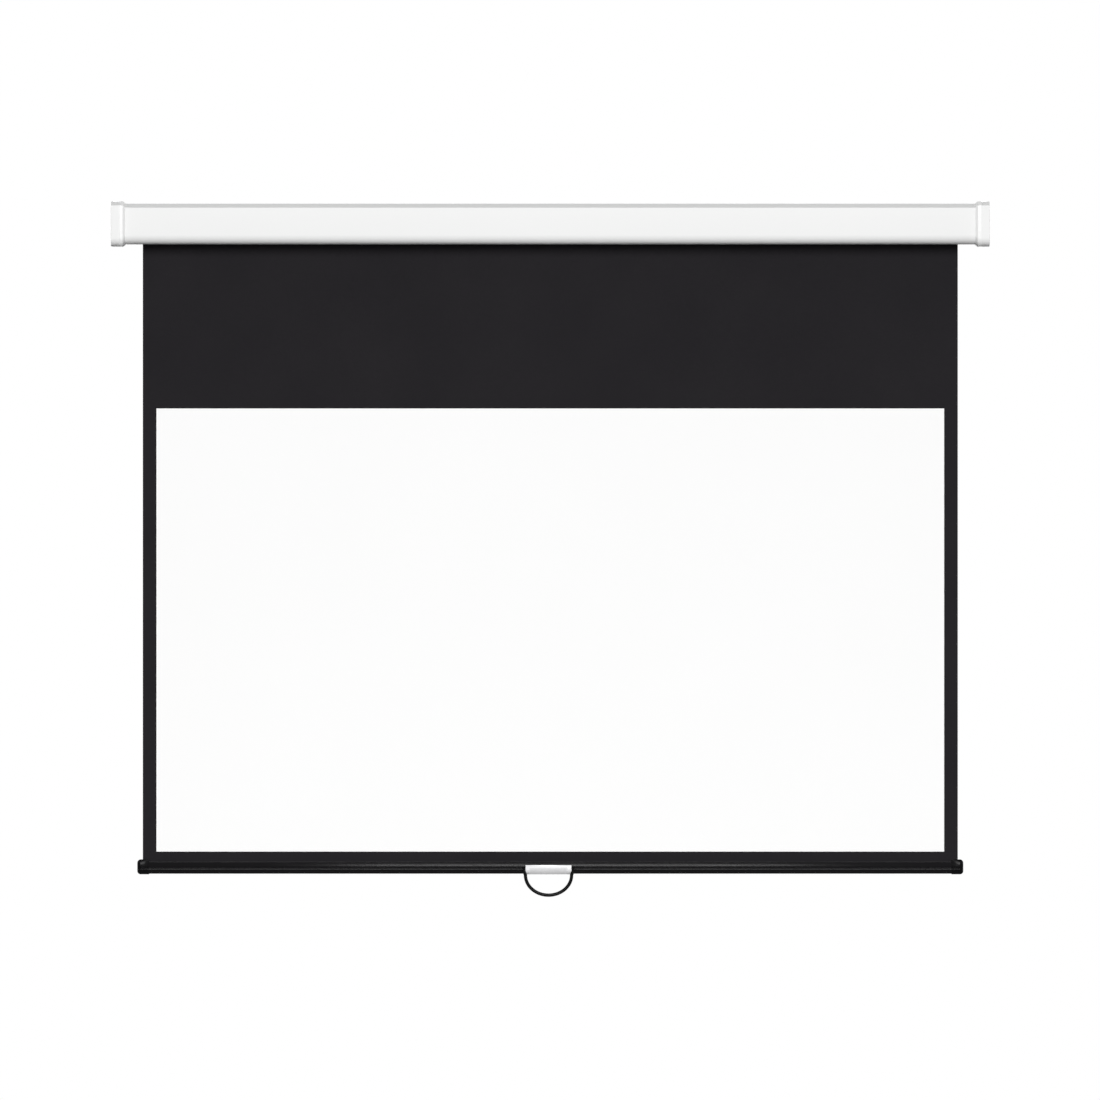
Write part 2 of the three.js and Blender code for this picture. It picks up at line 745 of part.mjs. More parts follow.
// White plate on the bar's front that carries the bail, scooped out below for the fingers
function handlePlate() {
  const low = barBottom - barCapBelow;
  const high = barTop - plateTop;
  const half = plateWidth / 2;
  const outline = new THREE.Shape();
  outline.moveTo(handleOffset - half, low + plateTaperHeight);
  outline.lineTo(handleOffset - half + plateTaper, low);
  outline.lineTo(handleOffset + half - plateTaper, low);
  outline.lineTo(handleOffset + half, low + plateTaperHeight);
  outline.absarc(handleOffset + half - plateCorner, high - plateCorner, plateCorner, 0, Math.PI / 2);
  outline.absarc(
    handleOffset - half + plateCorner, high - plateCorner, plateCorner, Math.PI / 2, Math.PI);
  const scoop = new THREE.Shape([
    new THREE.Vector2(plateFront - overrun, barTop - scoopTop),
    new THREE.Vector2(plateFront, barTop - scoopTop),
    new THREE.Vector2(plateFront + scoopDepth, low),
    new THREE.Vector2(plateFront + scoopDepth, low - overrun),
    new THREE.Vector2(plateFront - overrun, low - overrun),
  ]);
  const sockets = [-1, 1].map((side) => disc(
    handleOffset + side * half - bailPinLength - fit, handleOffset + side * half + bailPinLength + fit,
    bailWireRadius + fit, bailY, bailZ, smallFacets));
  const holes = handleScrewPlaces().map((x) => screwHole(
    x, plateBack - handleScrewBite - fit, plateBack + overrun));
  const plate = towardsViewer(plateBack, plateThickness, outline);
  const scooped = cut(plate, alongXFrom(
    handleOffset - scoopWidth / 2, handleOffset + scoopWidth / 2, scoop));
  return cut(scooped, ...sockets, ...holes);
}

function handleScrew(x) {
  const z = barTop - handleScrewDrop;
  const tip = plateBack - handleScrewBite;
  const seat = barBack + fit;
  return join(
    pegAlongY(x, z, tip, seat + handleScrewHead / 2, handleScrewRadius),
    pegAlongY(x, z, seat, seat + handleScrewHead, handleScrewHeadRadius));
}

// Bent wire bail: pins turned into the plate's ends, short legs and a half ellipse below
function handleBail() {
  const bend = bailBendShare * bailWireRadius;
  const legX = plateWidth / 2 + fit + bend;
  const pinX = plateWidth / 2 - bailPinLength;
  const shoulderZ = barTop - bailShoulderDrop;
  const path = new THREE.CurvePath();
  const at = (x, z) => new THREE.Vector3(handleOffset + x, bailY, z);
  class HalfEllipse extends THREE.Curve {
    getPoint(share, target = new THREE.Vector3()) {
      const angle = -Math.PI + share * Math.PI;
      const deep = barTop - bailDrop;
      return target.set(
        handleOffset + bailHalfWidth * Math.cos(angle), bailY,
        shoulderZ + (shoulderZ - deep) * Math.sin(angle));
    }
  }
  path.add(new THREE.LineCurve3(at(-pinX, bailZ), at(bend - legX, bailZ)));
  path.add(new THREE.QuadraticBezierCurve3(
    at(bend - legX, bailZ), at(-legX, bailZ), at(-legX, bailZ - bend)));
  path.add(new THREE.LineCurve3(at(-legX, bailZ - bend), at(-bailHalfWidth, shoulderZ)));
  path.add(new HalfEllipse());
  path.add(new THREE.LineCurve3(at(bailHalfWidth, shoulderZ), at(legX, bailZ - bend)));
  path.add(new THREE.QuadraticBezierCurve3(
    at(legX, bailZ - bend), at(legX, bailZ), at(legX - bend, bailZ)));
  path.add(new THREE.LineCurve3(at(legX - bend, bailZ), at(pinX, bailZ)));
  const section = new THREE.Shape();
  section.absarc(0, 0, bailWireRadius, 0, 2 * Math.PI);
  return solidOf(new THREE.ExtrudeGeometry(section, {
    steps: bailSteps, extrudePath: path, curveSegments: wireFacets / 2 }));
}

addPiece('case_shell', whitePaint, caseShell());
for (const [side, word] of [[-1, 'left'], [1, 'right']]) {
  addPiece(`${word}_end_cap`, whitePlastic, endCap(side));
  addPiece(`${word}_end_bracket`, zincSteel, endBracket(side));
  addPiece(`${word}_cap_screw_upper`, brightSteel, capScrew(side, screwPlaces()[0]));
  addPiece(`${word}_cap_screw_lower`, brightSteel, capScrew(side, screwPlaces()[1]));
  addPiece(`${word}_bar_cap`, blackNylon, barCap(side));
}
addPiece('roller_tube', tubeAluminium, rollerTube());
addPiece('fabric_wrap', blackFabric, fabricWrap());
addPiece('idle_plug', greyNylon, idlePlug());
addPiece('idle_bush', blackNylon, idleBush());
addPiece('gudgeon_pin', brightSteel, gudgeonPin());
addPiece('spring_hub', greyNylon, springHub());
addPiece('shaft_bush', blackNylon, shaftBush());
addPiece('spring_shaft', zincSteel, springShaft());
addPiece('spring_anchor', greyNylon, springAnchor());
addPiece('torsion_spring', springSteel, torsionSpring());
addPiece('ratchet_wheel', brightSteel, notchedWheel());
pawlTurns.forEach((turn, i) => {
  const word = ['upper', 'lower'][i];
  addPiece(`${word}_pawl`, brightSteel, pawl(turn));
  addPiece(`${word}_pawl_pin`, zincSteel, pawlPin(turn));
});
addPiece('lock_cover', greyNylon, lockCover());
addPiece('shaft_keeper', brightSteel, shaftKeeper());
addPiece('fabric_base', blackFabric, fabricBase());
addPiece('picture_surface', whiteFabric, pictureSurface());
addPiece('bottom_border', blackFabric, bottomBorderStrip());
addPiece('hem_rod', zincSteel, hemRod());
addPiece('bottom_bar', blackPaint, bottomBar());
addPiece('handle_plate', whitePlastic, handlePlate());
handleScrewPlaces().forEach((x, i) => {
  addPiece(`handle_screw_${['left', 'right'][i]}`, zincSteel, handleScrew(x));
});
addPiece('handle_bail', blackNylon, handleBail());

export default group;
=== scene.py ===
"""A pull-down projection screen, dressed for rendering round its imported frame.

Lengths are metres in the row's frame: +X is the viewer's right, -Y faces the viewer
and +Z is up. Angles are degrees. Places come from the frame's boxes, and the rest from
the values below.
"""

import json
import math

import bmesh
import bpy
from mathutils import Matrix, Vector
from mathutils.geometry import tessellate_polygon


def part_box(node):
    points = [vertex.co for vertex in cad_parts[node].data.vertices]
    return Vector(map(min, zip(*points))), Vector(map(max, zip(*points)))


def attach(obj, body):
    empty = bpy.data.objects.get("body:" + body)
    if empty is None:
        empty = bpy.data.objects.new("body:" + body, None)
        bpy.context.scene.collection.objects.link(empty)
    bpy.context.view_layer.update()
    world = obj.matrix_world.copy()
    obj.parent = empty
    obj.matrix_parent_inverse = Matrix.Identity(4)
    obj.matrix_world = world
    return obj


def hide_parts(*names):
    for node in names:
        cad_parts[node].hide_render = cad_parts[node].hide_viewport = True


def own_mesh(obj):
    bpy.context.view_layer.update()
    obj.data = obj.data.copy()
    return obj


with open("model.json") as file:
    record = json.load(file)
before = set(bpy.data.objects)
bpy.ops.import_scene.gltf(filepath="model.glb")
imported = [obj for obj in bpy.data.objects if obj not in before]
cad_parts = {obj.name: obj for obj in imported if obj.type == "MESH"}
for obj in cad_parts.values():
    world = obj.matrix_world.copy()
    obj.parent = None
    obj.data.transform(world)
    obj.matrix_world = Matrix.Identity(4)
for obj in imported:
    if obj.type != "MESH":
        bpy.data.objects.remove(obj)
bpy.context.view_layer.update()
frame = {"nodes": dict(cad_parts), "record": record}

# Camera, as in the photograph: straight on, from far away
PHOTO_SIDE = 1100
METRES_PER_PIXEL = 0.0020237
VIEW_CENTRE_X = -0.0006
VIEW_CENTRE_Z = -0.6674
CAMERA_DISTANCE = 50
CAMERA_REACH = 200
SENSOR = 36

# Light
WORLD_LIGHT = 0.08
KEY_STRENGTH = 2.80
KEY_RISE = 18
KEY_SPREAD = 26
REAR_LAMP_PLACE = (4.4, 3.4, 1.0)
REAR_LAMP_SIZE = (3, 3)
REAR_LAMP_WATTS = 150
BAR_LAMP_PLACE = (0.05, -3.5, -1.745)
BAR_LAMP_AIM = (0.05, 0, -1.3)
BAR_LAMP_SIZE = (0.95, 0.11)
BAR_LAMP_WATTS = 9.5

# Floor
FLOOR_DROP = 0.50
FLOOR_HALF = 12
FLOOR_SOLID = 0.9
FLOOR_GONE = 3.6
FLOOR_SEEN = 0.93
FLOOR_GLOW = 0.28
FLOOR_BOUNCE = 0.12
FLOOR_ROUGHNESS = 0.9
FLOOR_SPECULAR = 0.1

# Textures
NOISE_LOW = 0.3
NOISE_HIGH = 0.7
WAVE_PERIOD = math.pi / 10
STEEL_PALE_SHARE = 1.12
STEEL_ROUGH_SPAN = 0.16

# Round shapes
CORNER_STEPS = 12
BEND_STEPS = 6
LOOP_STEPS = 24
TURN_STEPS = 64
SCREW_STEPS = 32
EDGE_SEGMENTS = 3
SMOOTH_ANGLE = 32

# Case shell
CASE_WALL = 0.001
TOP_RISE = 0.0085
TOP_RUN = 0.031
TOP_BLEND = 0.002
CASE_BOTTOM_RADIUS = 0.0185
CASE_BACK_RADIUS = 0.005
SLOT_WIDTH = 0.014
SLOT_LIP = 0.0065
LIP_BEND = 0.0015

# End caps
FIT = 0.0003
CAP_WALL = 0.0024
CAP_BOTTOM_RADIUS = 0.0175
CAP_BACK_RADIUS = 0.003
CAP_LIP = 0.0005
CAP_LIP_REACH = 0.0040
CAP_LIP_LENGTH = 0.0050
CAP_LIP_POWER = 1.05
CAP_RIM = 0.006
CAP_STEP = 0.0003
CAP_EDGE = 0.0010
CAP_TAPER = 0.0004

# Brackets and screws
BRACKET_SHEET = 0.002
BRACKET_INSET = 0.002
BRACKET_BEND = 0.0022
KEYHOLE_ENTRY = 0.005
KEYHOLE_SLOT = 0.0026
KEYHOLE_DROP = 0.013
CEILING_HOLE = 0.0035
PIN_SEAT = 0.0043
TONGUE_SEAT_HALF = (0.0028, 0.0043)
THREAD_HOLE = 0.0018
FLANGE_LENGTH = 0.018
WALL_FLANGE_HALF = 0.022
CEILING_FLANGE_FRONT = 0.012
CEILING_FLANGE_BACK = 0.017
SINK_DEPTH = 0.0019
SINK_RADIUS = 0.0038
SHANK_SHARE = 3 / 7
TIP_RADIUS_SHARE = 0.75
TIP_LENGTH_SHARE = 1.6
CROSS_ARM = 0.0019
CROSS_HALF = 0.00045
CROSS_DEPTH = 0.0011
CROSS_ARMS = ((CROSS_ARM, CROSS_HALF), (CROSS_HALF, CROSS_ARM))

# Fabric
CLOTH_THICKNESS = 0.0005
CLOTH_CELL = 0.02
RIPPLE = 0.0004
WIDE_WAVES = 7.1
WIDE_WAVES_START = 1.4
NARROW_WAVES = 16.3
NARROW_WAVES_LEAN = 2.2
NARROW_WAVES_SHARE = 0.5
WRAP_TURNS = 2
WRAP_THICKNESS_SHARE = 0.8
HEM_OVERLAP = 0.008
HEM_WELD = 0.00005
HEM_MOUTH = 35

# Bottom bar, where a crown is a radius, the drop of its foremost line and its edge's rounding
BAR_CROWN = (0.140, -0.0007, 0.0004)
BAR_CAP_CROWN = (0.0224, 0.0116, 0.0015)
GROOVE_DROP = 0.0119
GROOVE_HALF = 0.0007
GROOVE_DEPTH = 0.0016
BEAD_DROP = 0.0152
BEAD_PROUD = 0.00025
BEAD_RADIUS = 0.0026
BEAD_FALL = 0.0024
BAR_FRONT_FOOT = 0.0012
BAR_FRONT_WALL = 0.003
BAR_WALL = 0.0014
BAR_FOOT = 0.002
HEM_SLOT_HALF = 0.0011
HEM_CHAMBER = 0.0033
HEM_DROP = 0.0062

# Bar caps
BAR_CAP_ROUND = 0.007
BAR_CAP_EDGE = 0.0004
BAR_CAP_EASE = 0.015

# Handle
PLATE_SCOOP_HALF = 0.0375
PLATE_SCOOP_DEPTH = 0.0078
PLATE_SCOOP_DROP = 0.0115
PLATE_SCOOP_POWER = 1.9
PLATE_ROLL_DEPTH = 0.0068
PLATE_ROLL_DROP = 0.0145
PLATE_ROLL_POWER = 2.5
PLATE_TAPER = 0.0026
PLATE_TAPER_HEIGHT = 0.0071
PLATE_EDGE = 0.0009
PAN_HEIGHT = 0.0018
PAN_DOME = 0.0012
PAN_SHANK = 0.0016
BAIL_HALF_WIDTH = 0.0467
BAIL_SHOULDER_DROP = 0.027
BAIL_BEND_SHARE = 1.5
BAIL_STEPS = 72
WIRE_SIDES = 24
WIRE_COAT = 0.00025


# Places read from the frame

case_low, case_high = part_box("case_shell")
cap_low, cap_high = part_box("right_end_cap")
cloth_low, cloth_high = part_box("fabric_base")
picture_low, picture_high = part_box("picture_surface")
wrap_low, wrap_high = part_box("fabric_wrap")
tube_low, tube_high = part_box("roller_tube")
bar_low, bar_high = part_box("bottom_bar")
rod_low, rod_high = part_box("hem_rod")
plate_low, plate_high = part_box("handle_plate")
bail_low, bail_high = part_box("handle_bail")
roller_axis = Vector(((wrap_low.y + wrap_high.y) / 2, (wrap_low.z + wrap_high.z) / 2))
cloth_y = (cloth_low.y + cloth_high.y) / 2
wall_centre = (case_low.z + case_high.z) / 2


# Outlines

def arc(centre, radius, start, end, steps):
    """Points round an arc between two angles in degrees."""
    angles = [math.radians(start + (end - start) * i / steps) for i in range(steps + 1)]
    return [Vector((centre[0] + radius * math.cos(a), centre[1] + radius * math.sin(a))) for a in angles]


def circle(centre, radius, steps=SCREW_STEPS):
    return arc(centre, radius, 0, 360, steps)[:-1]


def quarter_turn(steps):
    """Angles in even steps from zero to a right angle."""
    return [math.radians(90 * i / steps) for i in range(steps + 1)]


def rounded_box(u0, u1, v0, v1, radii):
    """A rectangle whose corner radii run low-low, high-low, high-high and low-high."""
    low_low, high_low, high_high, low_high = radii
    return (
        arc((u0 + low_low, v0 + low_low), low_low, 180, 270, BEND_STEPS)
        + arc((u1 - high_low, v0 + high_low), high_low, 270, 360, BEND_STEPS)
        + arc((u1 - high_high, v1 - high_high), high_high, 0, 90, BEND_STEPS)
        + arc((u0 + low_high, v1 - low_high), low_high, 90, 180, BEND_STEPS))


def filleted(corners, radii, steps=BEND_STEPS):
    """An open path through the corners, with each inner corner rounded to its radius."""
    path = [Vector(corners[0])]
    for i in range(1, len(corners) - 1):
        here = Vector(corners[i])
        back = (Vector(corners[i - 1]) - here).normalized()
        on = (Vector(corners[i + 1]) - here).normalized()
        half = back.angle(on) / 2
        centre = here + (back + on).normalized() * radii[i - 1] / math.sin(half)
        reach = radii[i - 1] / math.tan(half)
        first = here + back * reach - centre
        last = here + on * reach - centre
        turn = math.atan2(first.x * last.y - first.y * last.x, first.dot(last))
        for k in range(steps + 1):
            c, s = math.cos(turn * k / steps), math.sin(turn * k / steps)
            path.append(centre + Vector((first.x * c - first.y * s, first.x * s + first.y * c)))
    return path + [Vector(corners[-1])]


def ribbon(path, thickness):
    """The closed outline of a strip of even thickness that follows an open path."""
    left, right = [], []
    for i, point in enumerate(path):
        before = (point - path[i - 1]).normalized() if i else (path[1] - point).normalized()
        after = (path[i + 1] - point).normalized() if i + 1 < len(path) else before
        along = (before + after).normalized()
        side = Vector((-along.y, along.x)) * thickness / 2 / along.dot(before)
        left.append(point + side)
        right.append(point - side)
    return left + right[::-1]


def top_corners(low, high, inset):
    """Where the sloping front of the top starts and ends, on a line inset from the skin."""
    tilt = math.atan2(TOP_RUN, TOP_RISE)
    return (
        (low.y + inset, high.z - TOP_RISE - inset * math.tan(tilt / 2)),
        (low.y + TOP_RUN + inset * math.tan(math.pi / 4 - tilt / 2), high.z - inset))


def slope_section(low, high, foot, heel, offset):
    """A section in (y, z), grown by an offset, whose top slopes down towards its front."""
    tilt = math.degrees(math.atan2(TOP_RUN, TOP_RISE))
    lower, upper = top_corners(low, high, TOP_BLEND)
    return (
        arc((low.y + foot, low.z + foot), foot + offset, 180, 270, 2 * CORNER_STEPS)
        + arc((high.y - heel, low.z + heel), heel + offset, 270, 360, CORNER_STEPS)
        + arc((high.y - heel, high.z - heel), heel + offset, 0, 90, CORNER_STEPS)
        + arc(upper, TOP_BLEND + offset, 90, 180 - tilt, BEND_STEPS)
        + arc(lower, TOP_BLEND + offset, 180 - tilt, 180, 2 * CORNER_STEPS))


def case_ring(offset):
    return slope_section(case_low, case_high, CASE_BOTTOM_RADIUS, CASE_BACK_RADIUS, offset)


def cap_ring(inset):
    return slope_section(cap_low, cap_high, CAP_BOTTOM_RADIUS, CAP_BACK_RADIUS, -inset)


def between(ring_a, ring_b, share):
    return [a.lerp(b, share) for a, b in zip(ring_a, ring_b)]


# Meshes

def bridge(mesh, ring_a, ring_b):
    for i in range(len(ring_a)):
        j = (i + 1) % len(ring_a)
        mesh.faces.new((ring_a[i], ring_a[j], ring_b[j], ring_b[i]))


def prism(loops, x0, x1):
    """Carries outlines in (y, z) from x0 to x1; the loops after the first are holes."""
    mesh = bmesh.new()
    starts, ends = [], []
    for loop in loops:
        ring_a = [mesh.verts.new((x0, *point)) for point in loop]
        ring_b = [mesh.verts.new((x1, *point)) for point in loop]
        bridge(mesh, ring_a, ring_b)
        starts += ring_a
        ends += ring_b
    flat = [[Vector((*point, 0)) for point in loop] for loop in loops]
    for a, b, c in tessellate_polygon(flat):
        mesh.faces.new((starts[a], starts[b], starts[c]))
        mesh.faces.new((ends[a], ends[b], ends[c]))
    return mesh


def loft(stations):
    """A closed skin through rings of equal count, each given as x and its (y, z) points."""
    mesh = bmesh.new()
    rings = [[mesh.verts.new((x, *point)) for point in ring] for x, ring in stations]
    for ring_a, ring_b in zip(rings, rings[1:]):
        bridge(mesh, ring_a, ring_b)
    mesh.faces.new(rings[0])
    mesh.faces.new(rings[-1])
    return mesh


def turned(profile, axis, steps=TURN_STEPS):
    """Turns a profile of (x, radius) points round a line along X at axis (y, z)."""
    mesh = bmesh.new()
    rings = []
    for x, radius in profile:
        if radius == 0:
            rings.append([mesh.verts.new((x, *axis))])
        else:
            rings.append([mesh.verts.new((x, *point)) for point in circle(axis, radius, steps)])
    for ring_a, ring_b in zip(rings, rings[1:]):
        if len(ring_a) == len(ring_b):
            bridge(mesh, ring_a, ring_b)
        else:
            tip, ring = sorted((ring_a, ring_b), key=len)
            for i in range(len(ring)):
                mesh.faces.new((tip[0], ring[i], ring[(i + 1) % len(ring)]))
    return mesh


def box_mesh(low, high):
    mesh = bmesh.new()
    bmesh.ops.create_cube(mesh, size=1)
    low, high = Vector(low), Vector(high)
    bmesh.ops.scale(mesh, vec=high - low, verts=mesh.verts)
    bmesh.ops.translate(mesh, vec=(low + high) / 2, verts=mesh.verts)
    return mesh


def swap_xy(mesh):
    for vert in mesh.verts:
        x, y, z = vert.co
        vert.co = (y, x, z)
    return mesh


def standing(outline, z_low, z_high):
    """Carries an outline in (x, y) up from a low z to a high z."""
    mesh = prism([outline], z_low, z_high)
    for vert in mesh.verts:
        x, y, z = vert.co
        vert.co = (y, z, x)
    return mesh


def facing_viewer(outline, y_front, y_back):
    """Carries an outline in (x, z) from a front y to a back y."""
    return swap_xy(prism([outline], y_front, y_back))


def tube(path, radius, sides):
    """A round wire along a path that stays in one plane of constant y."""
    mesh = bmesh.new()
    rings = []
    for i, point in enumerate(path):
        before = path[max(i - 1, 0)]
        after = path[min(i + 1, len(path) - 1)]
        along = (after - before).normalized()
        across = Vector((along.z, 0, -along.x))
        ring = []
        for k in range(sides):
            angle = 2 * math.pi * k / sides
            offset = across * math.cos(angle) + Vector((0, 1, 0)) * math.sin(angle)
            ring.append(mesh.verts.new(point + offset * radius))
        rings.append(ring)
    for ring_a, ring_b in zip(rings, rings[1:]):
        bridge(mesh, ring_a, ring_b)
    mesh.faces.new(rings[0])
    mesh.faces.new(rings[-1])
    return mesh


def mirrored(mesh):
    for vert in mesh.verts:
        vert.co.x = -vert.co.x
    return mesh


def sided(mesh, side):
    return mirrored(mesh) if side < 0 else mesh


def as_object(name, mesh):
    bmesh.ops.recalc_face_normals(mesh, faces=mesh.faces)
    data = bpy.data.meshes.new(name)
    mesh.to_mesh(data)
    mesh.free()
    made = bpy.data.objects.new(name, data)
    bpy.context.scene.collection.objects.link(made)
    return made


def settle(piece):
    """Turns the piece's modifiers into its mesh."""
    graph = bpy.context.evaluated_depsgraph_get()
    piece.data = bpy.data.meshes.new_from_object(piece.evaluated_get(graph))
    piece.modifiers.clear()


def combine(piece, operation, tools):
    for mesh in tools:
        tool = as_object("tool", mesh)
        modifier = piece.modifiers.new("combine", "BOOLEAN")
        modifier.operation = operation
        modifier.solver = "EXACT"
        modifier.object = tool
        bpy.context.view_layer.update()
        settle(piece)
        bpy.data.objects.remove(tool)


def cut(piece, *tools):
    combine(piece, "DIFFERENCE", tools)


def join(piece, *tools):
    combine(piece, "UNION", tools)


def soften(piece, width):
    """Rounds the piece's sharp edges."""
    modifier = piece.modifiers.new("edges", "BEVEL")
    modifier.width = width
    modifier.segments = EDGE_SEGMENTS
    modifier.limit_method = "ANGLE"
    modifier.angle_limit = math.radians(SMOOTH_ANGLE)
    modifier.use_clamp_overlap = True
    bpy.context.view_layer.update()
    settle(piece)


def dress(piece, body, slot, *nodes):
    """Gives a piece its finish and its body, and hides the CAD nodes that it stands for."""
    if not piece.data.materials:
        piece.data.materials.append(finishes[slot])
    piece.data.polygons.foreach_set("use_smooth", [True] * len(piece.data.polygons))
    piece.data.set_sharp_from_angle(angle=math.radians(SMOOTH_ANGLE))
    if nodes:
        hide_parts(*nodes)
    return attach(piece, body)


# Materials

SOCKETS = {"metallic": "Metallic", "specular": "Specular IOR Level", "sheen": "Sheen Weight"}


class Finish:
    """A Principled material whose colour, roughness and relief come from procedural textures.
    Noises have so many cells to the metre, and heights and periods are metres."""

    def __init__(self, name, **constants):
        self.material = bpy.data.materials.new(name)
        self.material.use_nodes = True
        self.nodes = self.material.node_tree.nodes
        self.links = self.material.node_tree.links
        self.surface = self.nodes["Principled BSDF"]
        for socket, value in constants.items():
            self.surface.inputs[SOCKETS[socket]].default_value = value
        self.coordinates = self.nodes.new("ShaderNodeTexCoord")
        self.normal = None

    def noise(self, cells, stretch=(1, 1, 1), detail=4, blend=0.5):
        """A noise that can be stretched along the axes."""
        mapping = self.nodes.new("ShaderNodeMapping")
        mapping.inputs["Scale"].default_value = stretch
        texture = self.nodes.new("ShaderNodeTexNoise")
        texture.inputs["Scale"].default_value = cells
        texture.inputs["Detail"].default_value = detail
        texture.inputs["Roughness"].default_value = blend
        self.links.new(self.coordinates.outputs["Object"], mapping.inputs["Vector"])
        self.links.new(mapping.outputs["Vector"], texture.inputs["Vector"])
        return texture.outputs["Fac"]

    def waves(self, period, direction):
        """Even ridges, one to each period, across the X, Y or Z direction.
        A texture of scale one has one to each WAVE_PERIOD."""
        texture = self.nodes.new("ShaderNodeTexWave")
        texture.bands_direction = direction
        texture.inputs["Scale"].default_value = WAVE_PERIOD / period
        self.links.new(self.coordinates.outputs["Object"], texture.inputs["Vector"])
        return texture.outputs["Fac"]

    def spread(self, factor, low, high):
        """Maps the middle range of a noise to the values from low to high."""
        ranged = self.nodes.new("ShaderNodeMapRange")
        ranged.inputs["From Min"].default_value = NOISE_LOW
        ranged.inputs["From Max"].default_value = NOISE_HIGH
        ranged.inputs["To Min"].default_value = low
        ranged.inputs["To Max"].default_value = high
        self.links.new(factor, ranged.inputs["Value"])
        return ranged.outputs["Result"]

    def multiply(self, first, second):
        product = self.nodes.new("ShaderNodeMath")
        product.operation = "MULTIPLY"
        self.links.new(first, product.inputs[0])
        self.links.new(second, product.inputs[1])
        return product.outputs["Value"]

    def colour(self, low, high, **noise):
        """Blends the base colour from one to another where a noise rises."""
        factor = self.noise(**noise)
        mix = self.nodes.new("ShaderNodeMix")
        mix.data_type = "RGBA"
        mix.inputs["A"].default_value = (*low, 1)
        mix.inputs["B"].default_value = (*high, 1)
        self.links.new(self.spread(factor, 0, 1), mix.inputs["Factor"])
        self.links.new(mix.outputs["Result"], self.surface.inputs["Base Color"])

    def roughness(self, low, high, **noise):
        self.links.new(self.spread(self.noise(**noise), low, high), self.surface.inputs["Roughness"])

    def emboss(self, factor, strength, height):
        """Adds the relief of a texture on top of what is there."""
        node = self.nodes.new("ShaderNodeBump")
        node.inputs["Strength"].default_value = strength
        node.inputs["Distance"].default_value = height
        self.links.new(factor, node.inputs["Height"])
        if self.normal is not None:
            self.links.new(self.normal, node.inputs["Normal"])
        self.normal = node.outputs["Normal"]
        self.links.new(self.normal, self.surface.inputs["Normal"])

    def grain(self, strength, height, **noise):
        self.emboss(self.noise(**noise), strength, height)

    def weave(self, strength, height, period):
        """Threads over and under each other, as a product of two sets of ridges."""
        self.emboss(self.multiply(self.waves(period, "X"), self.waves(period, "Z")), strength, height)


def case_paint():
    finish = Finish("case_paint", specular=0.06)
    finish.colour(low=(0.895, 0.899, 0.895), high=(0.907, 0.910, 0.907), cells=2.5)
    finish.roughness(low=0.32, high=0.42, cells=45, detail=6)
    finish.grain(strength=0.12, height=0.00004, cells=900, detail=2)
    finish.grain(strength=0.1, height=0.0001, cells=60, stretch=(0.3, 1, 1))
    return finish


def cap_plastic():
    finish = Finish("cap_plastic", specular=0.15)
    finish.colour(low=(0.886, 0.889, 0.886), high=(0.900, 0.902, 0.899), cells=6)
    finish.roughness(low=0.38, high=0.5, cells=80, detail=5)
    finish.grain(strength=0.15, height=0.00005, cells=1800, detail=3)
    return finish


def rim_plastic_painted_highlight():
    """The caps' plastic on the rim: smoother, and painted a little paler than the cap as a painted
    highlight along the rim.
    """
    finish = Finish("rim_plastic_painted_highlight", specular=0.5)
    # Paler colour than cap_plastic: a painted highlight on the rim band, not a different plastic.
    finish.colour(low=(0.905, 0.908, 0.905), high=(0.917, 0.919, 0.916), cells=6)
    finish.roughness(low=0.24, high=0.32, cells=80, detail=5)
    finish.grain(strength=0.06, height=0.00003, cells=1800, detail=3)
    return finish


def handle_plastic():
    finish = Finish("handle_plastic", specular=0.5)
    finish.colour(low=(0.785, 0.785, 0.795), high=(0.805, 0.805, 0.815), cells=30)
    finish.roughness(low=0.22, high=0.32, cells=120, detail=5)
    finish.grain(strength=0.08, height=0.00004, cells=700, detail=2)
    return finish


def steel(name, colour, spots, lines, rough):
    """Metal with a mottled colour and fine lines along one direction."""
    finish = Finish(name, metallic=1.0)
    pale = tuple(min(1, c * STEEL_PALE_SHARE) for c in colour)
    finish.colour(low=colour, high=pale, cells=spots, detail=6, blend=0.65)
    finish.roughness(low=rough, high=rough + STEEL_ROUGH_SPAN, cells=220, stretch=lines, detail=6)
    finish.grain(strength=0.12, height=0.00003, cells=1200, stretch=lines, detail=3)
    return finish


def zinc_steel():
    return steel("zinc_steel", colour=(0.60, 0.61, 0.63), spots=260, lines=(1, 1, 0.15), rough=0.3)


def bright_steel():
    return steel("bright_steel", colour=(0.68, 0.69, 0.70), spots=180, lines=(1, 0.2, 0.2), rough=0.2)


def spring_steel():
    return steel("spring_steel", colour=(0.20, 0.205, 0.215), spots=300, lines=(0.3, 1, 1), rough=0.28)


def tube_aluminium():
    return steel("tube_aluminium", colour=(0.66, 0.67, 0.68), spots=120, lines=(0.02, 1, 1), rough=0.3)


def grey_nylon():
    finish = Finish("grey_nylon", specular=0.4)
    finish.colour(low=(0.23, 0.24, 0.255), high=(0.27, 0.28, 0.295), cells=70)
    finish.roughness(low=0.45, high=0.6, cells=300)
    finish.grain(strength=0.15, height=0.00005, cells=1500)
    return finish


def black_nylon():
    finish = Finish("black_nylon", specular=0.06)
    finish.colour(low=(0.0012, 0.0012, 0.0015), high=(0.0022, 0.0022, 0.0026), cells=90)
    finish.roughness(low=0.20, high=0.27, cells=200)
    finish.grain(strength=0.12, height=0.00004, cells=1400)
    return finish


def black_bar():
    """Black coat on an extrusion, with the die's faint lines along its length."""
    finish = Finish("black_bar", specular=0.08)
    finish.colour(
        low=(0.0026, 0.0023, 0.0030), high=(0.0042, 0.0038, 0.0048), cells=60, stretch=(0.05, 1, 1))
    finish.roughness(low=0.11, high=0.14, cells=25, stretch=(1, 4, 4), detail=6)
    finish.grain(strength=0.15, height=0.00003, cells=1500, stretch=(0.004, 1, 1), detail=3)
    return finish


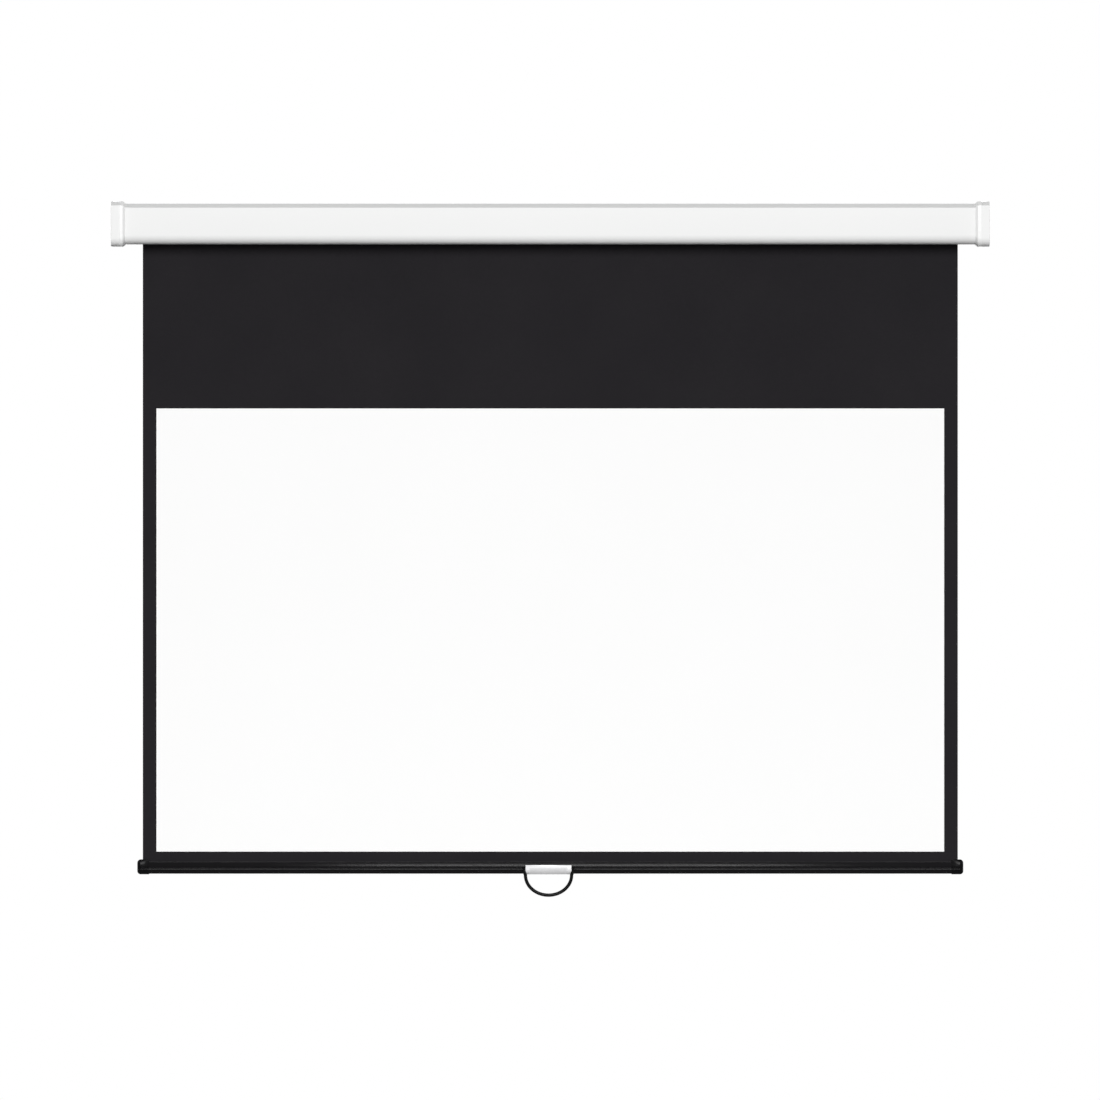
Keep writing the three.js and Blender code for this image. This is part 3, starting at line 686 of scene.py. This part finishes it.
def black_fabric():
    finish = Finish("black_fabric", specular=0.12, sheen=0.02)
    finish.colour(low=(0.0125, 0.0115, 0.0135), high=(0.0150, 0.0138, 0.0158), cells=5, detail=8)
    finish.roughness(low=0.82, high=0.95, cells=500)
    finish.weave(strength=0.25, height=0.00004, period=0.0006)
    finish.grain(strength=0.15, height=0.0005, cells=7, stretch=(1, 1, 0.5))
    return finish


def white_fabric():
    finish = Finish("white_fabric", specular=0.15)
    finish.colour(low=(0.977, 0.978, 0.976), high=(0.984, 0.985, 0.984), cells=3, detail=8)
    finish.roughness(low=0.85, high=0.97, cells=900)
    finish.weave(strength=0.12, height=0.00003, period=0.0005)
    finish.grain(strength=0.12, height=0.00003, cells=2600, detail=2)
    return finish


finishes = {make.__name__: make().material for make in (
    case_paint, cap_plastic, rim_plastic_painted_highlight, handle_plastic, zinc_steel, bright_steel, spring_steel,
    tube_aluminium, grey_nylon, black_nylon, black_bar, black_fabric, white_fabric)}


# Camera, floor and light

def make_camera():
    data = bpy.data.cameras.new("camera")
    data.sensor_width = SENSOR
    data.lens = SENSOR * CAMERA_DISTANCE / (PHOTO_SIDE * METRES_PER_PIXEL)
    data.clip_end = CAMERA_REACH
    camera = bpy.data.objects.new("camera", data)
    bpy.context.scene.collection.objects.link(camera)
    camera.location = (VIEW_CENTRE_X, cloth_y - CAMERA_DISTANCE, VIEW_CENTRE_Z)
    camera.rotation_euler = (math.radians(90), 0, 0)
    bpy.context.scene.camera = camera


def looked_at(nodes, links):
    """One for the rays of the camera, of a reflection and of glass, and zero for the rest."""
    path = nodes.new("ShaderNodeLightPath")
    seen = path.outputs["Is Camera Ray"]
    for ray in ("Is Glossy Ray", "Is Transmission Ray"):
        either = nodes.new("ShaderNodeMath")
        either.operation = "MAXIMUM"
        links.new(seen, either.inputs[0])
        links.new(path.outputs[ray], either.inputs[1])
        seen = either.outputs["Value"]
    return seen


def make_world():
    """Soft light from all round, which the camera and glossy rays see as plain white."""
    world = bpy.data.worlds.new("world")
    bpy.context.scene.world = world
    world.use_nodes = True
    nodes, links = world.node_tree.nodes, world.node_tree.links
    light = nodes["Background"]
    light.inputs["Color"].default_value = (1, 1, 1, 1)
    light.inputs["Strength"].default_value = WORLD_LIGHT
    white = nodes.new("ShaderNodeBackground")
    white.inputs["Color"].default_value = (1, 1, 1, 1)
    mix = nodes.new("ShaderNodeMixShader")
    links.new(looked_at(nodes, links), mix.inputs["Fac"])
    links.new(light.outputs["Background"], mix.inputs[1])
    links.new(white.outputs["Background"], mix.inputs[2])
    links.new(mix.outputs["Shader"], nodes["World Output"].inputs["Surface"])


def ranged(nodes, links, value, low, high):
    """Carries a value from zero to one over to the range from low to high."""
    shade = nodes.new("ShaderNodeMapRange")
    shade.inputs["To Min"].default_value = low
    shade.inputs["To Max"].default_value = high
    links.new(value, shade.inputs["Value"])
    return shade.outputs["Result"]


def floor_material():
    """Pale and solid under the object, and gone further out and from below, where the world shows.
    It looks paler than the light that it throws up at the object, and keeps the shadow."""
    material = bpy.data.materials.new("floor")
    material.use_nodes = True
    nodes, links = material.node_tree.nodes, material.node_tree.links
    solid = nodes["Principled BSDF"]
    seen = looked_at(nodes, links)
    links.new(ranged(nodes, links, seen, FLOOR_BOUNCE, FLOOR_SEEN), solid.inputs["Base Color"])
    links.new(ranged(nodes, links, seen, 0, FLOOR_GLOW), solid.inputs["Emission Strength"])
    solid.inputs["Emission Color"].default_value = (1, 1, 1, 1)
    solid.inputs["Roughness"].default_value = FLOOR_ROUGHNESS
    solid.inputs["Specular IOR Level"].default_value = FLOOR_SPECULAR
    clear = nodes.new("ShaderNodeBsdfTransparent")
    place = nodes.new("ShaderNodeNewGeometry")
    gone = nodes.new("ShaderNodeMath")
    gone.operation = "MAXIMUM"
    distance = nodes.new("ShaderNodeVectorMath")
    distance.operation = "DISTANCE"
    distance.inputs[1].default_value = (0, cloth_y, bail_low.z - FLOOR_DROP)
    fade = nodes.new("ShaderNodeMapRange")
    fade.interpolation_type = "SMOOTHERSTEP"
    fade.inputs["From Min"].default_value = FLOOR_SOLID
    fade.inputs["From Max"].default_value = FLOOR_GONE
    mix = nodes.new("ShaderNodeMixShader")
    links.new(place.outputs["Position"], distance.inputs[0])
    links.new(distance.outputs["Value"], fade.inputs["Value"])
    links.new(fade.outputs["Result"], gone.inputs[0])
    links.new(place.outputs["Backfacing"], gone.inputs[1])
    links.new(gone.outputs["Value"], mix.inputs["Fac"])
    links.new(solid.outputs["BSDF"], mix.inputs[1])
    links.new(clear.outputs["BSDF"], mix.inputs[2])
    links.new(mix.outputs["Shader"], nodes["Material Output"].inputs["Surface"])
    return material


def make_floor():
    z = bail_low.z - FLOOR_DROP
    mesh = bmesh.new()
    corners = [(-1, -1), (1, -1), (1, 1), (-1, 1)]
    mesh.faces.new([mesh.verts.new((x * FLOOR_HALF, y * FLOOR_HALF, z)) for x, y in corners])
    floor = as_object("floor", mesh)
    floor.data.materials.append(floor_material())


def make_key():
    """A wide far light from the front and above, which lights all of the object evenly."""
    data = bpy.data.lights.new("key_light", "SUN")
    data.energy = KEY_STRENGTH
    data.angle = math.radians(KEY_SPREAD)
    key = bpy.data.objects.new("key_light", data)
    bpy.context.scene.collection.objects.link(key)
    rise = math.radians(KEY_RISE)
    key.rotation_euler = Vector((0, math.cos(rise), -math.sin(rise))).to_track_quat("-Z", "Y").to_euler()


def make_lamp(name, place, aim, size, watts):
    """A soft rectangular lamp that the camera doesn't see."""
    data = bpy.data.lights.new(name, "AREA")
    data.shape = "RECTANGLE"
    data.size, data.size_y = size
    data.energy = watts
    lamp = bpy.data.objects.new(name, data)
    bpy.context.scene.collection.objects.link(lamp)
    lamp.location = place
    lamp.rotation_euler = (Vector(aim) - Vector(place)).to_track_quat("-Z", "Y").to_euler()
    lamp.visible_camera = False


def make_lamps():
    """The key, a lamp behind each end, and a low one in front that glints on the bar."""
    x, y, z = REAR_LAMP_PLACE
    middle = (0, cloth_y, VIEW_CENTRE_Z)
    make_key()
    make_lamp("left_rear_lamp", (-x, y, z), middle, REAR_LAMP_SIZE, REAR_LAMP_WATTS)
    make_lamp("right_rear_lamp", (x, y, z), middle, REAR_LAMP_SIZE, REAR_LAMP_WATTS)
    make_lamp("bar_lamp", BAR_LAMP_PLACE, BAR_LAMP_AIM, BAR_LAMP_SIZE, BAR_LAMP_WATTS)


# Case

def case_shell():
    """Rolled sheet, open along the slot, with both edges turned up into it."""
    middle = CASE_WALL / 2
    front, back = case_low.y + middle, case_high.y - middle
    bottom, top = case_low.z + middle, case_high.z - middle
    slot_front = cloth_y - SLOT_WIDTH / 2 - middle
    slot_back = cloth_y + SLOT_WIDTH / 2 + middle
    corners = [
        (slot_front, bottom + SLOT_LIP), (slot_front, bottom), (front, bottom),
        *top_corners(case_low, case_high, middle), (back, top), (back, bottom),
        (slot_back, bottom), (slot_back, bottom + SLOT_LIP)]
    radii = [
        LIP_BEND, CASE_BOTTOM_RADIUS - middle, TOP_BLEND - middle, TOP_BLEND - middle,
        CASE_BACK_RADIUS - middle, CASE_BACK_RADIUS - middle, LIP_BEND]
    path = filleted(corners, radii, CORNER_STEPS)
    shell = as_object("rolled_case_shell", prism([ribbon(path, CASE_WALL)], case_low.x, case_high.x))
    dress(shell, "case", "case_paint", "case_shell")


def cap_stations():
    """The cap's skin, from its pocket over the rounded rim beside the shell to its end face."""
    inner, outer = cap_low.x - CAP_LIP_REACH, cap_high.x
    shell_end = case_high.x + FIT
    inside = [
        (outer - CAP_WALL, case_ring(-CASE_WALL)), (shell_end, case_ring(-CASE_WALL)),
        (shell_end, case_ring(FIT)), (inner, case_ring(FIT))]
    quarter = quarter_turn(BEND_STEPS)
    power = 2 / CAP_LIP_POWER
    lip = [(
        inner + CAP_LIP_LENGTH * (1 - math.cos(a) ** power),
        between(case_ring(FIT + CAP_LIP), cap_ring(0), math.sin(a) ** power)) for a in quarter]
    rim = inner + CAP_LIP_LENGTH + CAP_RIM
    step = [(rim, cap_ring(0)), (rim + CAP_STEP, cap_ring(CAP_TAPER))]
    edge = [(
        outer - CAP_EDGE * (1 - math.sin(a)),
        cap_ring(CAP_TAPER + CAP_EDGE * (1 - math.cos(a)))) for a in quarter]
    return inside + lip + step + edge


def screw_heights():
    return [
        sum((corner.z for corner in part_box(f"right_cap_screw_{word}")), 0) / 2
        for word in ("upper", "lower")]


def end_cap(side, word):
    """Moulded cap with a rounded rim beside the shell and windows for the bracket."""
    over = CAP_EDGE
    flange = cap_high.x - CAP_WALL - FIT - FLANGE_LENGTH - FIT
    pocket = cap_high.x - CAP_WALL
    wall_window = box_mesh(
        (flange, case_high.y - CASE_WALL - over, wall_centre - WALL_FLANGE_HALF - FIT),
        (pocket, cap_high.y + over, wall_centre + WALL_FLANGE_HALF + FIT))
    ceiling_window = box_mesh(
        (flange, roller_axis.x - CEILING_FLANGE_FRONT - FIT, case_high.z - CASE_WALL - over),
        (pocket, roller_axis.x + CEILING_FLANGE_BACK + FIT, cap_high.z + over))
    sinks = [turned([
        (pocket - over, 0), (pocket - over, SINK_RADIUS / 2),
        (cap_high.x - SINK_DEPTH, SINK_RADIUS / 2), (cap_high.x, SINK_RADIUS),
        (cap_high.x + over, SINK_RADIUS), (cap_high.x + over, 0),
    ], (roller_axis.x, height)) for height in screw_heights()]
    cap = as_object(f"moulded_cap_{word}", sided(loft(cap_stations()), side))
    cut(cap, *[sided(tool, side) for tool in (wall_window, ceiling_window, *sinks)])
    cap.data.materials.append(finishes["cap_plastic"])
    cap.data.materials.append(finishes["rim_plastic_painted_highlight"])
    # The rim band takes the paler plastic: a painted highlight along the rim, beside the lip.
    rim = cap_low.x - CAP_LIP_REACH + CAP_LIP_LENGTH
    for face in cap.data.polygons:
        face.material_index = int(rim < abs(face.center.x) < rim + CAP_RIM)
    dress(cap, "case", "cap_plastic", f"{word}_end_cap")


def bracket_upright(high):
    """Plate that follows the case's section, a little inside it."""
    inset = CASE_WALL + BRACKET_INSET
    margin = Vector((0, inset, inset))
    ring = slope_section(
        case_low + margin, case_high - margin, CASE_BOTTOM_RADIUS - inset, CASE_BACK_RADIUS - inset, 0)
    return prism([ring], high.x - BRACKET_SHEET, high.x)


def bracket_flanges(low, high):
    """Strips that leave the upright and bend inwards, along the wall and under the ceiling."""
    middle = BRACKET_SHEET / 2
    stem = high.x - middle
    root = CASE_WALL + BRACKET_INSET + 2 * BRACKET_SHEET
    wall = filleted([
        (stem, case_high.y - root), (stem, high.y - middle), (low.x, high.y - middle)], [BRACKET_BEND])
    ceiling = filleted([
        (stem, case_high.z - root), (stem, high.z - middle), (low.x, high.z - middle)], [BRACKET_BEND])
    return (
        standing(
            ribbon(wall, BRACKET_SHEET),
            wall_centre - WALL_FLANGE_HALF, wall_centre + WALL_FLANGE_HALF),
        facing_viewer(
            ribbon(ceiling, BRACKET_SHEET),
            roller_axis.x - CEILING_FLANGE_FRONT, roller_axis.x + CEILING_FLANGE_BACK))


def keyhole(x):
    """Outline in (x, z) of a round entry with a narrow slot that rises from it."""
    mouth = math.degrees(math.asin(KEYHOLE_SLOT / KEYHOLE_ENTRY))
    return (
        arc((x, -KEYHOLE_DROP), KEYHOLE_ENTRY, 90 + mouth, 450 - mouth, SCREW_STEPS)
        + arc((x, 0), KEYHOLE_SLOT, 0, 180, CORNER_STEPS))


def bracket_holes(side, high):
    """The keyhole and the ceiling screw's hole, the roller's seat and the cap screws' threads."""
    over = BRACKET_SHEET / 2
    hole_x = (case_high.x + high.x - BRACKET_SHEET) / 2
    inner, outer = high.x - BRACKET_SHEET - over, high.x + over
    half_y, half_z = TONGUE_SEAT_HALF
    seat = prism([circle(roller_axis, PIN_SEAT)], inner, outer) if side > 0 else box_mesh(
        (inner, roller_axis.x - half_y, roller_axis.y - half_z),
        (outer, roller_axis.x + half_y, roller_axis.y + half_z))
    threads = [
        prism([circle((roller_axis.x, height), THREAD_HOLE)], inner, outer)
        for height in screw_heights()]
    return [
        facing_viewer(keyhole(hole_x), high.y - BRACKET_SHEET - over, high.y + over),
        standing(
            circle((hole_x, roller_axis.x), CEILING_HOLE),
            high.z - BRACKET_SHEET - over, high.z + over),
        seat, *threads]


def end_bracket(side, word):
    """Folded steel: an upright plate, a wall flange behind it and a ceiling flange on top."""
    low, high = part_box("right_end_bracket")
    bracket = as_object(f"folded_bracket_{word}", sided(bracket_upright(high), side))
    join(bracket, *[sided(flange, side) for flange in bracket_flanges(low, high)])
    cut(bracket, *[sided(hole, side) for hole in bracket_holes(side, high)])
    dress(bracket, "case", "zinc_steel", f"{word}_end_bracket")


def cap_screw(side, word, place, height):
    """Countersunk screw with a cross recess, its head flush with the cap's end."""
    low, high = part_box(f"right_cap_screw_{place}")
    head = (high.z - low.z) / 2
    shank = head * SHANK_SHARE
    crown = CROSS_HALF / 2
    screw = as_object(f"countersunk_{word}_{place}", sided(turned([
        (low.x, 0), (low.x + shank, shank * TIP_RADIUS_SHARE), (low.x + TIP_LENGTH_SHARE * shank, shank),
        (high.x - SINK_DEPTH, shank), (high.x - crown, head - crown / 2),
        (high.x, head - crown), (high.x, 0),
    ], (roller_axis.x, height), SCREW_STEPS), side))
    slots = [box_mesh(
        (high.x - CROSS_DEPTH, roller_axis.x - y, height - z),
        (high.x + CROSS_DEPTH, roller_axis.x + y, height + z)) for y, z in CROSS_ARMS]
    cut(screw, *[sided(slot, side) for slot in slots])
    dress(screw, "case", "bright_steel", f"{word}_cap_screw_{place}")


# Fabric

def cloth_y_at(x, z):
    """How far the hanging cloth stands from its plane: slight waves that die out at its ends."""
    fall = (cloth_high.z - z) / (cloth_high.z - cloth_low.z)
    wide = math.sin(WIDE_WAVES * x + WIDE_WAVES_START)
    narrow = math.sin(NARROW_WAVES * x - NARROW_WAVES_LEAN * fall)
    return RIPPLE * (wide + NARROW_WAVES_SHARE * narrow) * math.sin(math.pi * fall)


def stops(low, high, marks, cell):
    """Even steps from low to high that also stop at each mark."""
    edges = [low, *marks, high]
    values = []
    for a, b in zip(edges, edges[1:]):
        count = max(1, round((b - a) / cell))
        values += [a + (b - a) * i / count for i in range(count)]
    return values + [high]


def screen_sheet():
    """One coated sheet: white in the picture's place, black round it and on the back."""
    xs = stops(cloth_low.x, cloth_high.x, [picture_low.x, picture_high.x], CLOTH_CELL)
    zs = stops(cloth_low.z, cloth_high.z, [picture_high.z], CLOTH_CELL)
    back = cloth_high.y
    front = back - CLOTH_THICKNESS
    mesh = bmesh.new()
    layers = [
        [[mesh.verts.new((x, y + cloth_y_at(x, z), z)) for x in xs] for z in zs]
        for y in (front, back)]
    for side, layer in enumerate(layers):
        for row_a, row_b, z in zip(layer, layer[1:], zs):
            for i, x in enumerate(xs[:-1]):
                face = mesh.faces.new((row_a[i], row_a[i + 1], row_b[i + 1], row_b[i]))
                inside = picture_low.x <= x < picture_high.x - FIT and z < picture_high.z - FIT
                face.material_index = int(side == 0 and inside)
    around = [
        layer[0] + [row[-1] for row in layer[1:]]
        + layer[-1][-2::-1] + [row[0] for row in layer[-2:0:-1]] for layer in layers]
    bridge(mesh, *around)
    sheet = as_object("screen_sheet", mesh)
    sheet.data.materials.append(finishes["black_fabric"])
    sheet.data.materials.append(finishes["white_fabric"])
    dress(sheet, "case", "white_fabric", "fabric_base", "picture_surface")
    return sheet


def bottom_hem():
    """Last stretch of the fabric, looped round the rod and welded up the sheet's back."""
    low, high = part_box("bottom_border")
    rod = (rod_high.z - rod_low.z) / 2
    rod_z = (rod_high.z + rod_low.z) / 2
    loop = rod + FIT + CLOTH_THICKNESS / 2
    front = cloth_high.y - CLOTH_THICKNESS / 2
    back = cloth_high.y + CLOTH_THICKNESS / 2 + HEM_WELD
    path = [Vector((front, high.z)), Vector((front, rod_z + 2 * rod))]
    path += arc((cloth_y, rod_z), loop, 90 + HEM_MOUTH, 450 - HEM_MOUTH, LOOP_STEPS)
    path += [Vector((back, rod_z + 2 * rod)), Vector((back, high.z + HEM_OVERLAP))]
    hem = as_object("bottom_hem", prism([ribbon(path, CLOTH_THICKNESS)], low.x, high.x))
    return dress(hem, "bar", "black_fabric", "bottom_border")


def wound_cloth():
    """The turns of fabric that stay on the tube, as one spiral strip."""
    inner = (tube_high.z - tube_low.z) / 2 + FIT + CLOTH_THICKNESS / 2
    outer = (wrap_high.z - wrap_low.z) / 2 - CLOTH_THICKNESS / 2
    steps = WRAP_TURNS * TURN_STEPS
    path = []
    for i in range(steps + 1):
        angle = -2 * math.pi * WRAP_TURNS * (1 - i / steps)
        radius = inner + (outer - inner) * i / steps
        path.append(roller_axis + Vector((math.cos(angle), math.sin(angle))) * radius)
    strip = ribbon(path, CLOTH_THICKNESS * WRAP_THICKNESS_SHARE)
    wrap = as_object("wound_cloth", prism([strip], wrap_low.x, wrap_high.x))
    dress(wrap, "roller", "black_fabric", "fabric_wrap")


# Bottom bar

def bar_front(front, top, bottom, crown):
    """A slightly convex band over a groove, and a bead below it that falls back to the foot."""
    radius, drop, edge = crown
    groove = bar_high.z - GROOVE_DROP
    rise = math.degrees(math.asin(drop / radius))
    fall = math.degrees(math.asin((top - drop - groove - GROOVE_HALF) / radius))
    band = arc((front + radius, top - drop), radius, 180 - rise, 180 + fall, BEND_STEPS)
    upper = filleted([(band[0].x + 2 * edge, top), band[0], band[1]], [edge])
    corners = [
        band[-2], band[-1], (front + GROOVE_DEPTH, groove),
        (front - BEAD_PROUD, bar_high.z - BEAD_DROP),
        (front + BEAD_FALL, bottom + BAR_FRONT_FOOT),
        (front + BEAD_FALL + BAR_FRONT_FOOT, bottom)]
    lower = filleted(corners, [GROOVE_HALF / 2, GROOVE_HALF / 2, BEAD_RADIUS, BAR_FRONT_FOOT])
    return upper[:-1] + band[1:-2] + lower


def bar_section(low, high, offset, crown):
    """The bar's or its cap's section in (y, z), from the top of its front to the top of its back."""
    back, top, bottom = high.y + offset, high.z + offset, low.z - offset
    return (
        bar_front(low.y - offset, top, bottom, crown)
        + arc((back - BAR_FOOT, bottom + BAR_FOOT), BAR_FOOT, 270, 360, BEND_STEPS)
        + arc((back - BAR_FOOT, top - BAR_FOOT), BAR_FOOT, 0, 90, BEND_STEPS))


def bottom_bar():
    """Extrusion with a hem channel on top and a hollow below it."""
    top = bar_high.z
    chamber = (cloth_y, top - HEM_DROP)
    mouth = math.degrees(math.asin(HEM_SLOT_HALF / HEM_CHAMBER))
    outline = (
        [Vector((cloth_y - HEM_SLOT_HALF, top))] + bar_section(bar_low, bar_high, 0, BAR_CROWN)
        + [Vector((cloth_y + HEM_SLOT_HALF, top))]
        + arc(chamber, HEM_CHAMBER, 90 - mouth, mouth - 270, LOOP_STEPS))
    hollow = rounded_box(
        bar_low.y + BAR_FRONT_WALL, bar_high.y - BAR_WALL, bar_low.z + BAR_WALL,
        chamber[1] - HEM_CHAMBER - BAR_WALL, [BAR_FRONT_WALL, *[BAR_WALL] * 3])
    bar = as_object("extruded_bar", prism([outline, hollow], bar_low.x, bar_high.x))
    dress(bar, "bar", "black_bar", "bottom_bar")


def shrunk(section, low, high, inset):
    """Draws a (y, z) section in towards the middle of its box by an inset on each side."""
    centre = (low + high) / 2
    half = (high - low) / 2
    return [Vector((
        centre.y + (point.x - centre.y) * (1 - inset / half.y),
        centre.z + (point.y - centre.z) * (1 - inset / half.z))) for point in section]


def bar_cap(side, word):
    """Moulded cap that carries the bar's front on round its end, slit on top for the fabric."""
    low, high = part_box("right_bar_cap")
    section = bar_section(low, high, 0, BAR_CAP_CROWN)
    plain = bar_section(low, high, 0, BAR_CROWN)
    quarter = quarter_turn(CORNER_STEPS)
    stations = [(low.x, shrunk(plain, low, high, BAR_CAP_EDGE))]
    stations += [(
        low.x + BAR_CAP_EDGE + BAR_CAP_EASE * a / quarter[-1],
        between(section, plain, math.cos(a))) for a in quarter[:-1]]
    stations += [(
        high.x - BAR_CAP_ROUND * (1 - math.sin(a)),
        shrunk(section, low, high, BAR_CAP_ROUND * (1 - math.cos(a)))) for a in quarter]
    cap = as_object(f"moulded_bar_cap_{word}", sided(loft(stations), side))
    over = BAR_CAP_ROUND
    socket = prism([bar_section(bar_low, bar_high, FIT / 2, BAR_CROWN)], low.x - over, bar_high.x + FIT)
    slit = box_mesh(
        (low.x - over, cloth_y - HEM_SLOT_HALF, bar_high.z - over),
        (cloth_high.x + FIT, cloth_y + HEM_SLOT_HALF, high.z + over))
    cut(cap, sided(socket, side), sided(slit, side))
    dress(cap, "bar", "black_nylon", f"{word}_bar_cap")


# Handle

def plate_cut(drop, depth, power):
    """Outline in (y, z) of what a curve takes off the plate's lower front."""
    low, over = plate_low, PLATE_EDGE
    top = bar_high.z - drop
    shares = [i / CORNER_STEPS for i in range(CORNER_STEPS + 1)]
    curve = [Vector((low.y + depth * s ** power, top + (low.z - top) * s)) for s in shares]
    return curve + [
        Vector((low.y + depth, low.z - over)), Vector((low.y - over, low.z - over)),
        Vector((low.y - over, top))]


def handle_plate():
    """White plate with slanted lower corners, rolled under at the bottom and more so between its ends."""
    low, high = plate_low, plate_high
    outline = [
        (low.x + PLATE_TAPER, low.z), (high.x - PLATE_TAPER, low.z),
        (high.x, low.z + PLATE_TAPER_HEIGHT), (high.x, high.z), (low.x, high.z),
        (low.x, low.z + PLATE_TAPER_HEIGHT)]
    plate = as_object("moulded_handle_plate", facing_viewer(
        [Vector(point) for point in outline], low.y, high.y))
    centre = (low.x + high.x) / 2
    roll = plate_cut(PLATE_ROLL_DROP, PLATE_ROLL_DEPTH, PLATE_ROLL_POWER)
    scoop = plate_cut(PLATE_SCOOP_DROP, PLATE_SCOOP_DEPTH, PLATE_SCOOP_POWER)
    cut(
        plate, prism([roll], low.x - PLATE_EDGE, high.x + PLATE_EDGE),
        prism([scoop], centre - PLATE_SCOOP_HALF, centre + PLATE_SCOOP_HALF))
    soften(plate, PLATE_EDGE)
    dress(plate, "bar", "handle_plastic", "handle_plate")


def handle_screw(word):
    """Pan head screw behind the bar, with a cross recess, that holds the plate."""
    low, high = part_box(f"handle_screw_{word}")
    head = (high.z - low.z) / 2
    x, z = (low.x + high.x) / 2, (low.z + high.z) / 2
    seat = high.y - PAN_HEIGHT
    profile = [(low.y, 0), (low.y + PAN_SHANK, PAN_SHANK), (seat, PAN_SHANK), (seat, head)]
    profile += [(
        high.y - PAN_DOME * (1 - math.sin(a)),
        head - PAN_DOME * (1 - math.cos(a))) for a in quarter_turn(BEND_STEPS)]
    mesh = turned(profile + [(high.y, 0)], (x, z), SCREW_STEPS)
    screw = as_object(f"pan_screw_{word}", swap_xy(mesh))
    slots = [box_mesh(
        (x - across, high.y - CROSS_DEPTH, z - up), (x + across, high.y + CROSS_DEPTH, z + up))
        for across, up in CROSS_ARMS]
    cut(screw, *slots)
    dress(screw, "bar", "zinc_steel", f"handle_screw_{word}")


def bail():
    """Bent wire: pins into the plate's ends, short legs and half an ellipse below."""
    wire = (bail_high.y - bail_low.y) / 2
    skin = wire + WIRE_COAT
    y = (bail_high.y + bail_low.y) / 2
    centre = (bail_low.x + bail_high.x) / 2
    leg = (bail_high.x - bail_low.x) / 2 - wire
    pivot = bail_high.z - wire
    foot = bail_low.z + wire
    shoulder = bar_high.z - BAIL_SHOULDER_DROP
    bend = BAIL_BEND_SHARE * wire
    pin = leg - bend - 2 * wire
    side = filleted([(-pin, pivot), (-leg, pivot), (-BAIL_HALF_WIDTH, shoulder)], [bend], 2 * BEND_STEPS)
    half = [
        Vector((BAIL_HALF_WIDTH * math.cos(a), shoulder + (shoulder - foot) * math.sin(a)))
        for a in (-math.pi + math.pi * i / BAIL_STEPS for i in range(1, BAIL_STEPS))]
    flat = side + half + [Vector((-point.x, point.y)) for point in side[::-1]]
    path = [Vector((centre + point.x, y, point.y)) for point in flat]
    wire_piece = as_object("bent_wire_bail", tube(path, skin, WIRE_SIDES))
    dress(wire_piece, "bail", "black_nylon", "handle_bail")


def paint_cad_nodes():
    """Gives each CAD node the finish of its slot in the record."""
    for part in frame["record"]["subparts"]:
        for slot in frame["nodes"][part["node"]].material_slots:
            slot.material = finishes[part["material_slot"]]


make_camera()
make_world()
make_floor()
make_lamps()
paint_cad_nodes()
case_shell()
for side, word in ((-1, "left"), (1, "right")):
    end_cap(side, word)
    end_bracket(side, word)
    for place, height in zip(("upper", "lower"), screw_heights()):
        cap_screw(side, word, place, height)
sheet = screen_sheet()
hem = bottom_hem()
wound_cloth()
bottom_bar()
for side, word in ((-1, "left"), (1, "right")):
    bar_cap(side, word)
    handle_screw(word)
handle_plate()
bail()

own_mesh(sheet)

bpy.context.scene.view_settings.view_transform = "Standard"
